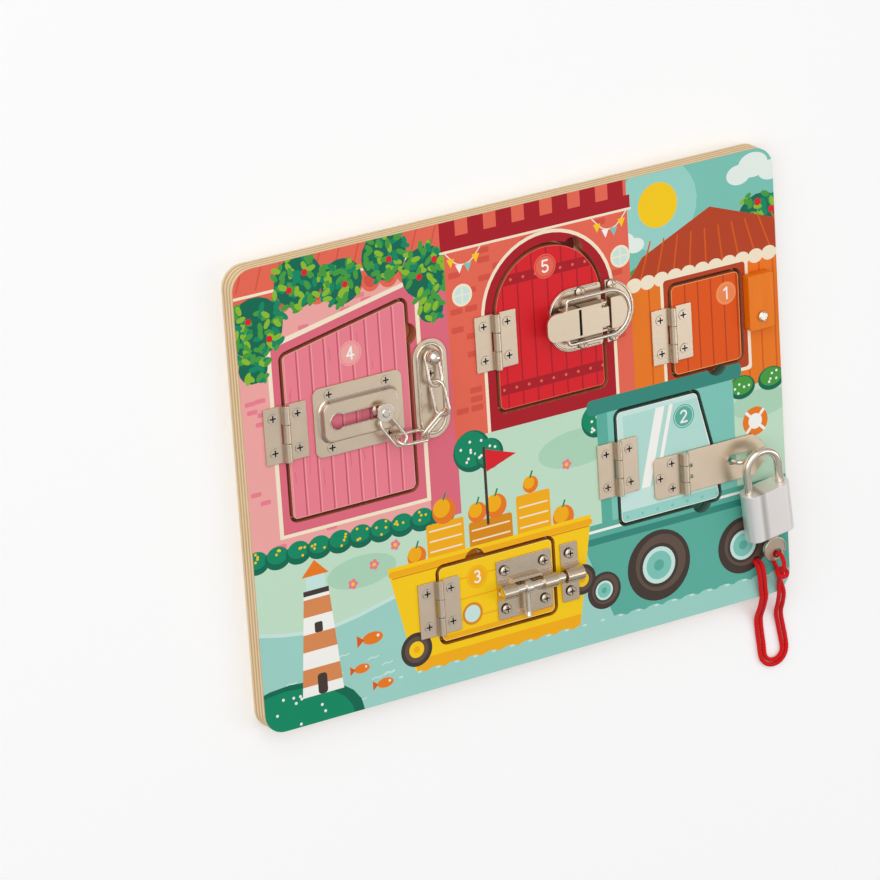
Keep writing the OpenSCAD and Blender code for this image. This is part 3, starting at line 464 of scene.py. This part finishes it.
inks = {
    "sky": (125, 200, 185), "pale_sky": (156, 216, 204), "cloud": (236, 246, 238),
    "white": (252, 250, 244), "cream": (250, 236, 208), "mint": (198, 229, 203),
    "mint_shade": (176, 217, 188), "water": (160, 214, 202), "foam": (205, 235, 226),
    "pink": (240, 130, 146), "pale_pink": (246, 170, 166), "rose": (228, 108, 128),
    "deep_rose": (205, 84, 106), "coral": (236, 105, 82), "brick": (220, 84, 66),
    "red": (224, 28, 40), "dark_red": (176, 18, 34), "maroon": (128, 20, 32),
    "orange": (240, 124, 26), "deep_orange": (222, 92, 16), "vermilion": (232, 88, 16),
    "rust": (188, 66, 28), "light_teal": (128, 202, 188), "teal": (92, 178, 160),
    "deep_teal": (52, 140, 126), "glass": (205, 236, 228), "frost": (184, 226, 216),
    "yellow": (255, 208, 12), "gold": (250, 178, 8), "ochre": (224, 142, 10),
    "brown": (68, 56, 50), "mid_brown": (98, 80, 70), "green": (0, 140, 100),
    "dark_green": (0, 108, 82), "leaf": (70, 160, 62), "lime": (142, 192, 44),
    "tan": (222, 140, 84), "peach": (252, 172, 96), "salmon": (246, 140, 84),
    "lemon": (255, 230, 110),
}
painted = []


def area(ink, *points, door=None):
    """A shape of flat ink, given by its corners in millimetres."""
    painted.append((ink, [Vector(p) for p in points], door))


def disc(ink, x, y, r, ry=None, turn=0, sides=24, door=None):
    c, s = math.cos(math.radians(turn)), math.sin(math.radians(turn))
    ovals = [(r * math.cos(2 * math.pi * k / sides), (ry or r) * math.sin(2 * math.pi * k / sides))
             for k in range(sides)]
    area(ink, *[(x + u * c - v * s, y + u * s + v * c) for u, v in ovals], door=door)


def slab(ink, x0, y0, x1, y1, r=0.0, door=None):
    corners = ((x1, y1, 0), (x0, y1, 90), (x0, y0, 180), (x1, y0, 270))
    if not r:
        area(ink, *[(x, y) for x, y, a in corners], door=door)
        return
    area(ink, *[(x - math.copysign(r, x - (x0 + x1) / 2) + r * math.cos(math.radians(a + 22.5 * k)),
                 y - math.copysign(r, y - (y0 + y1) / 2) + r * math.sin(math.radians(a + 22.5 * k)))
                for x, y, a in corners for k in range(5)], door=door)


def line(ink, width, *points, door=None):
    for a, b in zip(points, points[1:]):
        a, b = Vector(a), Vector(b)
        out = (b - a).orthogonal().normalized() * width / 2
        area(ink, a + out, a - out, b - out, b + out, door=door)
    for x, y in points:
        disc(ink, x, y, width / 2, sides=10, door=door)


def curve(*points):
    return [tuple(p) for p in smooth_way([Vector(p) for p in points], 6)]


def crown(x, y, r, leaves, rnd, base="dark_green", tones=("green", "leaf", "lime", "leaf")):
    disc(base, x, y, r, sides=18)
    for k in range(leaves):
        far, a = r * math.sqrt(rnd.random()) * 1.08, rnd.uniform(0, 2 * math.pi)
        disc(rnd.choice(tones), x + far * math.cos(a), y + far * math.sin(a), 3.1, 1.6,
             turn=rnd.uniform(0, 180), sides=8)


def dotted(ink, x, y, r, count, size, rnd):
    for k in range(count):
        far, a = r * math.sqrt(rnd.random()), rnd.uniform(0, 2 * math.pi)
        disc(ink, x + far * math.cos(a), y + far * math.sin(a), size, sides=8)


rnd = random.Random(11)

# sky, hills, street and water
slab("sky", -5, 100, 350, 270)
disc("pale_sky", 268, 246, 26)
disc("yellow", 268, 246, 13)
for x, y, r in ((322, 252, 8), (332, 256, 10), (343, 251, 8), (252, 226, 6), (244, 229, 8)):
    disc("cloud", x, y, r, r * 0.72)
area("leaf", *curve((238, 205), (256, 214), (280, 208), (310, 216), (352, 206)),
     (352, 120), (238, 120))
area("lime", *curve((238, 196), (262, 199), (290, 205), (318, 198), (352, 201)),
     (352, 120), (238, 120))
area("mint", *curve((-5, 140), (60, 146), (130, 141), (200, 147), (270, 140), (352, 146)),
     (352, -5), (-5, -5))
for x, y, r in ((208, 118, 26), (66, 80, 22), (330, 116, 20)):
    disc("mint_shade", x, y, r, r * 0.42)
shore = curve((-5, 60), (40, 52), (84, 60), (130, 66), (180, 60), (230, 68), (290, 60), (352, 66))
area("water", *shore, (352, -5), (-5, -5))
line("foam", 2.2, *shore[::3])
for k in range(46):
    x, y = rnd.uniform(4, 340), rnd.uniform(5, 50)
    line("foam", 0.7, (x, y), (x + 2.2, y + 0.9), (x + 4.4, y + 0.2), (x + 6.6, y + 0.9))

# pink house, with its door 4
slab("pale_pink", -5, 98, 126, 270)
slab("rose", 112, 98, 131, 270)
for k in range(60):
    x, y = rnd.uniform(0, 104), rnd.uniform(100, 240)
    slab("pink", x, y, x + 6.5, y + 2.6, 0.8)
area("cream", (17.5, 110), (112.5, 110), (112.5, 239), (17.5, 220.5))
area("rose", (20, 112), (110, 112), (110, 236), (20, 218))
area("pink", (20, 100), (112, 100), (112, 250), (20, 250), door=4)
for k in range(9):
    x = 26.5 + 8.6 * k
    line("deep_rose", 0.8, (x, 116), (x, 240), door=4)
    line("pale_pink", 0.5, (x + 1.1, 116), (x + 1.1, 240), door=4)
for k in range(26):
    x, y = 30 + 8.6 * rnd.randrange(8), rnd.uniform(124, 214)
    line("rose", 0.5, (x, y), (x + rnd.uniform(-1, 1), y + rnd.uniform(4, 10)), door=4)
for x in range(-4, 130, 11):
    disc("coral", x, 244, 6.4, 7.5)
    disc("brick", x, 244, 4.2, 5)
slab("coral", -5, 246, 131, 270)
line("cream", 1.6, (-5, 250), (131, 250))
for x in range(2, 128, 12):
    line("brick", 0.9, (x, 253), (x + 4, 265))
for x, y, r, leaves in (
        (12, 232, 17, 70), (40, 252, 15, 56), (66, 246, 13, 44), (93, 255, 14, 50),
        (118, 240, 15, 56), (120, 219, 8, 18), (9, 210, 9, 22)):
    crown(x, y, r, leaves, rnd)
for x, y in (
        (8, 236), (20, 224), (44, 256), (68, 244), (96, 252), (114, 238), (124, 246), (34, 248)):
    disc("red", x, y, 1.9, sides=12)
for x in range(2, 128, 13):
    disc("dark_green", x, 100, 8, 6.4)
    disc("green", x, 102, 6.6, 5)
    dotted("yellow", x, 102, 4.6, 4, 0.8, rnd)

# red gatehouse, with its arched door 5
slab("coral", 130, 140, 248, 270)
for k in range(70):
    x, y = 132 + 9.4 * rnd.randrange(12), 144 + 5.2 * rnd.randrange(20)
    slab("brick", x, y, x + 7.6, y + 3.4, 0.7)
slab("dark_red", 128, 248, 250, 256)
for x in range(128, 250, 18):
    slab("dark_red", x, 254, x + 10, 270)
line("cream", 1.4, (128, 248), (250, 248))
disc("cream", 194.05, 204.3, 43, sides=48)
slab("cream", 151, 140, 237, 204.3)
disc("dark_red", 194.05, 204.3, 41, sides=48)
slab("dark_red", 153, 140, 235, 204.3)
slab("red", 150, 140, 240, 250, door=5)
for k in range(7):
    x = 165.5 + 9.6 * k
    line("dark_red", 0.9, (x, 140), (x, 245), door=5)
for y in (162, 224):
    slab("dark_red", 158, y - 3, 240, y + 3, door=5)
    for x in range(163, 230, 8):
        disc("coral", x, y, 0.9, sides=8, door=5)
for x, y in ((140, 222), (242, 222)):
    disc("cream", x, y, 6.4)
    disc("glass", x, y, 5)
    line("cream", 0.9, (x - 5, y), (x + 5, y))
    line("cream", 0.9, (x, y - 5), (x, y + 5))
for x in (131, 225):
    string = curve((x, 247), (x + 7, 240), (x + 15, 240), (x + 22, 247))
    line("cream", 0.7, *string[::2])
    for k, (u, v) in enumerate(string[3::4]):
        area(("yellow", "white", "light_teal")[k % 3], (u - 2.4, v), (u + 2.4, v), (u, v - 5))
for x, y, r in ((140, 132, 12), (221, 131, 10), (151, 128, 9)):
    disc("dark_green", x, y, r)
    disc("green", x - 0.8, y + 1.2, r * 0.86)
    dotted("white", x, y, r * 0.75, 9, 0.85, rnd)

# orange hut, with its door 1
crown(336, 222, 17, 70, rnd)
for x, y in ((330, 226), (341, 214), (343, 228), (334, 234)):
    disc("red", x, y, 2.2, sides=12)
slab("orange", 247.5, 128, 352, 206)
for k in range(11):
    x = 259.5 + 9.2 * k
    line("deep_orange", 1, (x, 128), (x, 206))
area("rust", (244, 203), (352, 203), (352, 220), (302, 238), (256, 218))
for k in range(10):
    line("deep_orange", 1, (254 + 11 * k, 204), (262 + 9 * k, 226))
for x in range(250, 352, 9):
    disc("cream", x, 203, 5, 4.2, sides=16)
slab("cream", 267, 137.5, 325.5, 203.5, 2)
slab("rust", 269, 139.5, 323.5, 201.5, 2)
slab("vermilion", 268, 138, 325, 204, door=1)
for k in range(5):
    line("rust", 0.9, (283 + 8.6 * k, 140), (283 + 8.6 * k, 200), door=1)
for x, y in ((262, 128), (283, 127), (318, 128), (338, 129)):
    disc("dark_green", x, y, 9, 7)
    disc("leaf", x, y + 1, 7.4, 5.4)
    dotted("white", x, y + 1, 5, 5, 0.8, rnd)

# teal steamer, with its door 2
slab("light_teal", 221, 60, 312, 138, 6)
slab("deep_teal", 215, 134, 318, 143, 3)
slab("teal", 221, 60, 228, 134)
area("teal", (204, 70), (352, 70), (352, 12), (226, 12))
line("white", 1.6, (206, 66), (352, 66))
line("deep_teal", 4, (209, 60), (352, 60))
slab("glass", 228, 60, 305, 138, door=2)
area("frost", (238, 84), (297, 84), (288, 129), (238, 129), door=2)
area("white", (248, 84), (254, 84), (266, 129), (260, 129), door=2)
area("white", (257, 84), (259.5, 84), (271.5, 129), (269, 129), door=2)
slab("pale_sky", 230, 60, 305, 73, door=2)
for x in range(238, 300, 10):
    disc("light_teal", x, 69.4, 1, sides=12, door=2)
for x, y, r in ((257, 36, 21), (314, 34, 17), (220, 30, 11)):
    disc("brown", x, y, r, sides=36)
    disc("mid_brown", x + r * 0.06, y + r * 0.06, r * 0.8, sides=36)
    disc("brown", x, y, r * 0.62, sides=30)
    disc("glass", x, y, r * 0.52, sides=30)
    disc("light_teal", x, y, r * 0.4)
    disc("teal", x, y, r * 0.16)
disc("orange", 326, 106, 8.5)
disc("white", 326, 106, 4.6)
for a in (45, 135, 225, 315):
    c, s = math.cos(math.radians(a)), math.sin(math.radians(a))
    line("white", 1.8, (326 + 5 * c, 106 + 5 * s), (326 + 8 * c, 106 + 8 * s))

# yellow barge, with its cargo and its door 3
for x0, x1, y1, ink in ((108, 132, 96, "gold"), (135, 163, 91, "ochre"), (166, 188, 99, "gold")):
    slab(ink, x0, 74, x1, y1, 1.5)
    for y in (80, 86, 92):
        if y < y1:
            line("cream", 0.9, (x0 + 2, y), (x1 - 2, y))
for x, y, r in (
        (141, 96, 6), (153, 97, 7), (120, 102, 7.5), (196, 80, 7), (101, 80, 6), (176, 104, 5)):
    disc("orange", x, y, r)
    disc("gold", x - r * 0.2, y + r * 0.25, r * 0.72)
    line("green", 1.1, (x, y + r - 1), (x + 1.4, y + r + 2.4))
line("brown", 1.8, (147.5, 88), (147.5, 132))
area("red", (148.5, 131), (168, 124.5), (148.5, 118))
area("yellow", (82, 77), (214, 77), (203, 12), (96, 12))
area("gold", (97, 20), (204, 20), (203, 12), (96, 12))
line("gold", 3.4, (84, 73), (213, 73))
line("ochre", 0.8, (85, 70.6), (212, 70.6))
slab("yellow", 108, 20, 192, 74, door=3)
for y in (36, 48, 60):
    line("gold", 0.9, (108, y), (192, y), door=3)
slab("gold", 108, 20, 192, 29.5, door=3)
disc("ochre", 134, 38, 6.6, door=3)
disc("glass", 134, 38, 5, door=3)
for x, y, r in ((97, 26, 10), (206, 40, 9)):
    disc("brown", x, y, r, sides=30)
    disc("mid_brown", x, y, r * 0.76, sides=30)
    disc("yellow", x, y, r * 0.48)
    disc("gold", x, y, r * 0.2)
for x in range(84, 352, 12):
    disc("water", x, 8, 8, 5.5, sides=16)
    disc("foam", x + 2, 12.6, 1.6, 0.7, sides=8)

# lighthouse on its mound, and fish
disc("dark_green", 16, 0, 46, 26)
disc("green", 14, -2, 42, 25)
dotted("white", 16, 6, 24, 16, 0.9, rnd)
area("white", (24, 16), (50, 16), (45, 74), (29, 74))
for y in (22, 42, 62):
    w0, w1 = 13 - (y - 16) * 0.086, 13 - (y - 6) * 0.086
    area("tan", (37 - w0, y), (37 + w0, y), (37 + w1, y + 10), (37 - w1, y + 10))
slab("brown", 29, 74, 45, 77)
slab("glass", 31, 77, 43, 85)
area("orange", (28.5, 85), (45.5, 85), (37, 94))
slab("brown", 34.5, 52, 39.5, 58, 1)
slab("brown", 34, 16, 40, 28, 2)
for x, y, s in ((70, 40, 1.0), (62, 24, 0.75), (76, 12, 0.8)):
    disc("orange", x, y, 6.5 * s, 3.6 * s)
    area("deep_orange", (x - 5.5 * s, y), (x - 10 * s, y + 3.6 * s), (x - 10 * s, y - 3.6 * s))
    disc("white", x + 3.4 * s, y + 0.8 * s, 0.9 * s, sides=10)
for x, y in ((60, 74), (74, 82), (88, 90), (200, 110), (228, 100)):
    for a in (math.radians(72 * k) for k in range(5)):
        disc("pink", x + 1.9 * math.cos(a), y + 1.9 * math.sin(a), 1.3, sides=10)
    disc("yellow", x, y, 1.1, sides=10)

# number badges


def bow(r, y, start, step, count):
    """A clockwise stroke of a figure: part of a circle round (0, y), in steps from start."""
    return [(r * math.cos(a), y + r * math.sin(a))
            for a in (math.radians(start - step * k) for k in range(count))]


figure_h = 6.6
figures = {
    1: [(-0.2, 0.3), (0.08, 0.5), (0.08, -0.5)],
    2: bow(0.28, 0.22, 160, 24, 9) + [(-0.3, -0.5), (0.32, -0.5)],
    3: bow(0.25, 0.25, 140, 28, 9) + bow(0.28, -0.22, 80, 28, 9),
    4: [(0.12, -0.5), (0.12, 0.5), (-0.3, -0.18), (0.34, -0.18)],
    5: [(0.26, 0.5), (-0.2, 0.5), (-0.24, 0.06)] + bow(0.3, -0.19, 126, 30, 10),
}
for n, x, y, r, tint, ring in (
        (1, 310.3, 185.5, 6.7, "salmon", "peach"), (2, 278.3, 120, 7, "teal", "glass"),
        (3, 138.3, 58.8, 6.7, "gold", "yellow"), (4, 68.3, 205, 7, "pale_pink", "pink"),
        (5, 193.3, 226.8, 7, "coral", "red")):
    for ink, size in ((tint, r), (ring, r - 0.7), (tint, r - 1.1)):
        disc(ink, x, y, size, sides=36, door=n)
    line("white", 1.05, *[(x + figure_h * u, y + figure_h * v) for u, v in figures[n]], door=n)

varnish = Finish("printed_ink")
place = varnish.place()
ink_colour = varnish.node("ShaderNodeVertexColor", {"layer_name": "ink"}, {})
speck = varnish.noise(place, 1500, 2)
cloudy = varnish.noise(place, 28, 4)
wood_grain = varnish.noise(varnish.stretched(place, (0.1, 1, 1)), 240, 5)
cover = varnish.mix((0.93, 0.93, 0.93), (1.03, 1.03, 1.03),
                    cloudy * 0.5 + speck * 0.3 + wood_grain * 0.2)
worn = varnish.node("ShaderNodeMix", {"data_type": "RGBA", "blend_type": "MULTIPLY"},
                    {0: 1.0, 6: ink_colour, 7: cover}, 2)
printed = varnish.surface(
    Base_Color=worn, Roughness=0.46 + 0.14 * wood_grain, Specular_IOR_Level=0.22,
    Normal=varnish.bump(wood_grain * 0.8 + speck * 0.2, 0.10, 0.00012))
board_at = spot(0, 0, 0)
order = list(inks)
# A lighter ink round the top edge of each door: a painted highlight on the edge.
edge_highlight_inks = {1: "peach", 2: "white", 3: "lemon", 4: "pale_pink", 5: "coral"}
edge_highlight_w, ink_lift = 0.38, 0.04


def top_edges(node):
    """The edges round a flat node's top faces, in millimetres from the board's corner."""
    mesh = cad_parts[node].data
    lid = max(v.co.z for v in mesh.vertices) - 0.01 * MM
    once = {}
    for p in mesh.polygons:
        if all(mesh.vertices[i].co.z > lid for i in p.vertices):
            corners = [tuple(round((mesh.vertices[i].co[axis] - board_at[axis]) / MM, 3)
                             for axis in (0, 1)) for i in p.vertices]
            for a, b in zip(corners, corners[1:] + corners[:1]):
                if (b, a) in once:
                    del once[b, a]
                else:
                    once[a, b] = True
    return [edge for edge in once if edge[0] != edge[1]]


def inside(points, edges):
    """For each point, whether an odd number of the edges lies to its right."""
    odd = np.zeros(len(points), bool)
    x, y = points[:, 0], points[:, 1]
    for (x0, y0), (x1, y1) in edges:
        if y0 == y1:
            continue
        crossing = (y0 > y) != (y1 > y)
        odd ^= crossing & (x < x0 + (y - y0) * (x1 - x0) / (y1 - y0))
    return odd


def print_sheet(node, body, door):
    """The printed skin of one sawn piece: flat-coloured triangles cut along every ink's edge."""
    rim = top_edges(node)
    low = np.array([a for a, b in rim]).min(0) - 1
    high = np.array([a for a, b in rim]).max(0) + 1
    here = [(ink, pts) for ink, pts, only in painted if only in (None, door)
            and max(p.x for p in pts) > low[0] and min(p.x for p in pts) < high[0]
            and max(p.y for p in pts) > low[1] and min(p.y for p in pts) < high[1]]
    # On a door, a thin band of lighter ink runs round its top edge, clear of the screw holes: a
    # painted highlight.
    if door:
        for a, b in rim:
            a, b = Vector(a), Vector(b)
            if (b - a).length > 0.05 and min((a - c).length for c in screw_holes[door]) > 3:
                out = (b - a).orthogonal().normalized() * edge_highlight_w
                here.append((edge_highlight_inks[door], [a + out, a - out, b - out, b + out]))
    points, links = [], []
    for a, b in rim:
        links.append((len(points), len(points) + 1))
        points += [Vector(a), Vector(b)]
    for ink, pts in here:
        start = len(points)
        points += pts
        links += [(start + k, start + (k + 1) % len(pts)) for k in range(len(pts))]
    flat, _, triangles, *_ = delaunay_2d_cdt(points, links, [], 0, 1e-5, False)
    flat = np.array([tuple(p) for p in flat])
    triangles = np.array(triangles)
    middle = flat[triangles].mean(1)
    a, b, c = (flat[triangles[:, k]] for k in range(3))
    u, v = b - a, c - a
    size = np.abs(u[:, 0] * v[:, 1] - v[:, 0] * u[:, 1])
    keep = inside(middle, rim) & (size > 1e-6)
    triangles, middle = triangles[keep], middle[keep]
    tone = np.full(len(triangles), order.index("mint"))
    for ink, pts in here:
        xs, ys = [p.x for p in pts], [p.y for p in pts]
        near = np.flatnonzero((middle[:, 0] > min(xs)) & (middle[:, 0] < max(xs))
                              & (middle[:, 1] > min(ys)) & (middle[:, 1] < max(ys)))
        if len(near):
            loop = [(tuple(p), tuple(q)) for p, q in zip(pts, pts[1:] + pts[:1])]
            tone[near[inside(middle[near], loop)]] = order.index(ink)
    used, new = np.unique(triangles, return_inverse=True)
    sheet = add_mesh("print_" + node, [spot(x, y, face + ink_lift) for x, y in flat[used]],
                     [tuple(int(i) for i in t) for t in new.reshape(-1, 3)], smooth=False)
    colours = sheet.data.color_attributes.new("ink", "FLOAT_COLOR", "CORNER")
    chart = np.array([(*paint(*inks[name]), 1) for name in order], np.float32)
    colours.data.foreach_set("color", chart[np.repeat(tone, 3)].ravel())
    sheet.data.materials.append(printed)
    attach(sheet, body)
    return sheet


def middles(node):
    """Where a group of upright screws stands, one point for each."""
    found = []
    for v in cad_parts[node].data.vertices:
        p = Vector(((v.co.x - board_at.x) / MM, (v.co.y - board_at.y) / MM))
        if not any((p - q).length < 4 for q in found):
            found.append(p)
    return found


screw_holes = {n: middles(f"door_{n}_screws") for n in range(1, 6)}
print_sheet("front_panel", "board", None)
for n in range(1, 6):
    print_sheet(f"door_{n}", f"door_{n}", n)

# ---------- finger notches ----------
# A half round cut beside each door, so that a fingertip can lift it. Its floor is the
# back panel, tinted with a darker ink of the picture round it: the hue goes with the
# picture, and the darker tone is painted shade.

notch_r, notch_z = 6.4, 4.04
# Each tint is a darker ink than the picture beside its notch: painted shade.
for n, x, y, out, tint in (
        (1, 302.2, 145.1, -90, "rust"), (2, 287.8, 66.5, -90, "deep_teal"),
        (3, 137.5, 69.2, 90, "ochre"), (4, 103.4, 207.7, 0, "tan"),
        (5, 211.4, 233.2, 59, "maroon")):
    arc = [spot(x + notch_r * math.cos(a), y + notch_r * math.sin(a), notch_z)
           for a in (math.radians(out - 90 + 9 * k) for k in range(21))]
    floor = add_mesh(f"notch_{n}_floor", arc, [tuple(range(len(arc)))], smooth=False)
    painted_shade_floor, tone = Finish(f"notch_{n}_tint"), paint(*inks[tint])
    fibres = painted_shade_floor.noise(painted_shade_floor.stretched(painted_shade_floor.place(), (0.15, 1, 1)), 260, 4)
    floor.data.materials.append(painted_shade_floor.surface(
        Base_Color=painted_shade_floor.mix(tuple(0.8 * c for c in tone), tone, fibres),
        Roughness=0.6, Normal=painted_shade_floor.bump(fibres, 0.2, 0.0001)))
    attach(floor, "board")

# ---------- turn latch ----------
# A small beech tongue, sawn, rounded and painted bright orange. It turns on one
# round-headed screw and holds door 1 when it lies across its edge.

painted_wood = Finish("orange_paint")
place = painted_wood.place()
streaks = painted_wood.noise(painted_wood.stretched(place, (1, 0.12, 1)), 300, 4)
peel = painted_wood.noise(place, 900, 2)
sanded = painted_wood.node("ShaderNodeBevel", {"samples": 6}, {"Radius": 0.0007})
finish_nodes(painted_wood.surface(
    Base_Color=painted_wood.mix(paint(232, 110, 4), paint(246, 134, 14), streaks),
    Roughness=0.4 + 0.15 * peel, Specular_IOR_Level=0.3,
    Normal=painted_wood.bump(streaks * 0.6 + peel * 0.4, 0.12, 0.0002, sanded)), "turn_latch")

# ---------- nickel plates ----------
# Hinges, hasp, bolt, chain plate and toggle latch are pressed from thin steel sheet
# and nickel plated: slightly warm, lightly brushed, with edges softened by tumbling.

nickel_tone = (0.74, 0.605, 0.46)
along_x = metal("nickel_along", nickel_tone, 0.34, (0.04, 1, 1))
along_y = metal("nickel_across", nickel_tone, 0.34, (1, 0.04, 1))
for n in range(1, 6):
    finish_nodes(along_y, f"hinge_{n}_frame_leaf", f"hinge_{n}_door_leaf")
    finish_nodes(bright, f"hinge_{n}_pin")
finish_nodes(along_x, "hasp_leaf", "hasp_strap", "chain_plate", "toggle_base", "toggle_strike")
finish_nodes(metal("nickel_rolled", nickel_tone, 0.22, (0.04, 1, 1)), "bolt_plate", "bolt_keeper")
# The dark in the lever's slit is painted shade.
finish_nodes(metal("nickel_lever", nickel_tone, 0.34, (0.04, 1, 1), slit=(208, 209.8, 20.6)),
             "toggle_lever")
finish_nodes(along_y, "chain_anchor_plate", "key")
finish_nodes(bright, "hasp_pin", "hasp_staple", "bolt_rod", "bolt_handle", "chain_runner",
             "chain_anchor_stud", "toggle_pin", "toggle_bail", "padlock_shackle")

# ---------- screws ----------
# Cross-headed wood screws: countersunk in the hinges, hasp and chain plates, round
# headed in the bolt and toggle latch. Their crosses, and the lower rims of the round
# heads, are painted dark as shade.


def screws(name, low, step=0.0, from_x=0.0):
    """Painted dark as shade below a height of low mm above the board's underside, and
    step mm higher on the screws that stand further along the board than from_x mm."""
    m = Finish(name)
    place = m.place()
    x, y, z = m.parts(place)
    worn = m.noise(place, 600, 3)
    # Painted shade: dark in the cross recesses, and round the lower rims of the round heads.
    deep = z < (x > (from_x - half_w) * MM) * (step * MM) + low * MM
    tone = m.mix((0.58, 0.48, 0.38), (0.8, 0.69, 0.56), worn)
    return m.surface(
        Base_Color=m.mix(tone, (0.05, 0.04, 0.035), deep),
        Metallic=1.0, Roughness=0.24 + 0.12 * worn + 0.3 * deep,
        Normal=m.node("ShaderNodeBevel", {"samples": 6}, {"Radius": 0.0002}))


cross_z, round_step = 13.06, 0.96
finish_nodes(screws("flush_screws", cross_z),
             "hinge_frame_screws", "door_1_screws", "door_2_screws", "door_4_screws")
finish_nodes(screws("lock_screws", cross_z, round_step, 142), "lock_frame_screws", "door_3_screws")
finish_nodes(screws("toggle_screws", cross_z, round_step, 192), "door_5_screws")
finish_nodes(bright, "turn_latch_screw")

# ---------- pressed edges ----------
# The pressing tools leave the sheet plates with rounded beads and drawn sides,
# polished by the plating barrel and given a lighter tone than the flats as a painted
# highlight.

# The beads' lighter tone than the nickel flats is a painted highlight; their lower roughness is the
# polish.
pressed = metal("nickel_bead_highlight", (0.82, 0.72, 0.6), 0.2, (1, 1, 1), 0.000004)


def rounded(cx, cy, w, h, r):
    """The outline of a rounded rectangle, anticlockwise, in mm."""
    return [(cx + sx * (w / 2 - r) + r * math.cos(a), cy + sy * (h / 2 - r) + r * math.sin(a))
            for sx, sy, start in ((1, 1, 0), (-1, 1, 90), (-1, -1, 180), (1, -1, 270))
            for a in (math.radians(start + 9 * k) for k in range(11))]


def press(made, body):
    made.data.materials.append(pressed)
    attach(made, body)


def bead(name, outline, z, radius, body, closed=True):
    """A round bead pressed along an outline."""
    way = [spot(x, y, z) for x, y in outline]
    if closed:
        way.append(way[0])
    way = even(way, 0.6 * MM)
    press(add_mesh(name, *tube(way[:-1] if closed else way, radius * MM, 14, closed=closed)), body)


def drawn_side(name, rings, body):
    """The drawn side of a pressed pan: bands between outlines that have as many points."""
    n = len(rings[0][0])
    verts = [spot(x, y, z) for outline, z in rings for x, y in outline]
    faces = [(i * n + k, i * n + (k + 1) % n, (i + 1) * n + (k + 1) % n, (i + 1) * n + k)
             for i in range(len(rings) - 1) for k in range(n)]
    press(add_mesh(name, verts, faces), body)


plate_x, plate_y = 70.5, 170.2
drawn_side("chain_plate_side", [(rounded(plate_x, plate_y, w, h, r), z) for w, h, r, z in (
    (49.6, 24.8, 6.7, 13.21), (48.4, 23.8, 6.1, 13.5), (47.2, 22.6, 5.5, 14.6),
    (46.8, 22.2, 5.3, 15.8), (46.2, 21.6, 5, 16.36), (44.8, 20.2, 4.3, 16.53))], "door_4")
keyhole = [(x0 + r * math.cos(a), y0 + r * math.sin(a))
           for x0, y0, r, a0, a1 in ((55.7, plate_y, 4.8, 51, 309), (82.6, plate_y, 3.7, -90, 90))
           for a in (math.radians(a0 + (a1 - a0) * k / 24) for k in range(25))]
bead("chain_plate_slot_edge", keyhole, 16.42, 0.34, "door_4")
plate_top = 13.1
bead("anchor_plate_bead", rounded(anchor_x, anchor_y, 15.4, 51, 7.6), plate_top, 0.95, "board")
toggle_x, toggle_y = 193.5, 192.9
base_edge = [(toggle_x + 31.8, toggle_y + 17.1)] + [
    (toggle_x + 14.1 + 13.1 * math.cos(a), toggle_y + side * 4 + 13.1 * math.sin(a))
    for side, a0 in ((1, 90), (-1, 180)) for a in (math.radians(a0 + 6 * k) for k in range(16))
] + [(toggle_x + 31.8, toggle_y - 17.1)]
bead("toggle_base_bead", base_edge, plate_top, 0.6, "door_5", closed=False)
strike_x = 231.8
strike_edge = [(strike_x + 15.6 * math.cos(a), toggle_y + 16.9 * math.sin(a))
               for a in (math.radians(-88 + 4 * k) for k in range(45))]
bead("toggle_strike_bead", strike_edge, plate_top, 0.6, "board", closed=False)

# ---------- padlock and key ----------
# The body is sawn from an extruded aluminium bar with rounded sides, brushed along
# its length, with a painted highlight band and a painted dark reflection stripe down
# its left side; the plug is brass. The key's bow has a raised border.

lock_w = 30.4 * MM
lock_at = spot(327.4, 40.75, 19.55)
lock_tilt, lock_turn = math.radians(6.2), math.radians(8.3)
lock_way = Euler((lock_tilt, 0, 0)).to_matrix() @ Euler((0, 0, lock_turn)).to_matrix()


def in_lock(x, y, z):
    """A place in the padlock's own frame: X across, Y towards its shackle, Z forwards."""
    return lock_at + lock_way @ (Vector((x, y, z)) * MM)


bar = Finish("brushed_aluminium")
place = bar.place()
lines = bar.noise(bar.stretched(place, (1, 0.03, 1)), 1400, 3)
haze = bar.noise(place, 60, 3)
to_right = lock_way @ Vector((1 / lock_w, 0, 0))
across = bar.node("ShaderNodeVectorMath", {"operation": "DOT_PRODUCT"}, {0: place, 1: to_right}, 1)
across = across + (0.5 - lock_at.dot(to_right))
# Painted light across the body, left to right: a bright highlight band, a dark reflection stripe
# where the rounded side meets the front, then the plain front.
drawn = bar.node("ShaderNodeValToRGB", {"stops": [
    (0.0, (0.9, 0.88, 0.86)), (0.1, (1.0, 0.99, 0.97)), (0.22, (1.0, 0.99, 0.97)),
    (0.3, (0.5, 0.47, 0.44)), (0.345, (0.62, 0.58, 0.55)), (0.4, (0.97, 0.92, 0.89)),
    (0.75, (1.0, 0.95, 0.92)), (1.0, (0.92, 0.88, 0.85))]},
    {0: across + 0.03 * (lines - 0.5)})
softened = bar.node("ShaderNodeBevel", {"samples": 6}, {"Radius": 0.0006})
finish_nodes(bar.surface(
    Base_Color=bar.mix(drawn, (0.86, 0.83, 0.8), haze * 0.3), Metallic=0.7,
    Roughness=0.34 + 0.12 * lines + 0.06 * haze,
    Normal=bar.bump(lines, 0.1, 0.00003, softened)), "padlock_body")
finish_nodes(metal("brass_plug", (0.83, 0.62, 0.28), 0.28, (1, 1, 1), 0.00001), "padlock_plug")
border = [in_lock(1.8 + 6.85 * math.cos(a), -11.6 + 6.85 * math.sin(a), 1)
          for a in (math.radians(-35 + 5 * k) for k in range(51))]
press(add_mesh("key_bow_border", *tube(border, 0.42 * MM, 10)), "key")
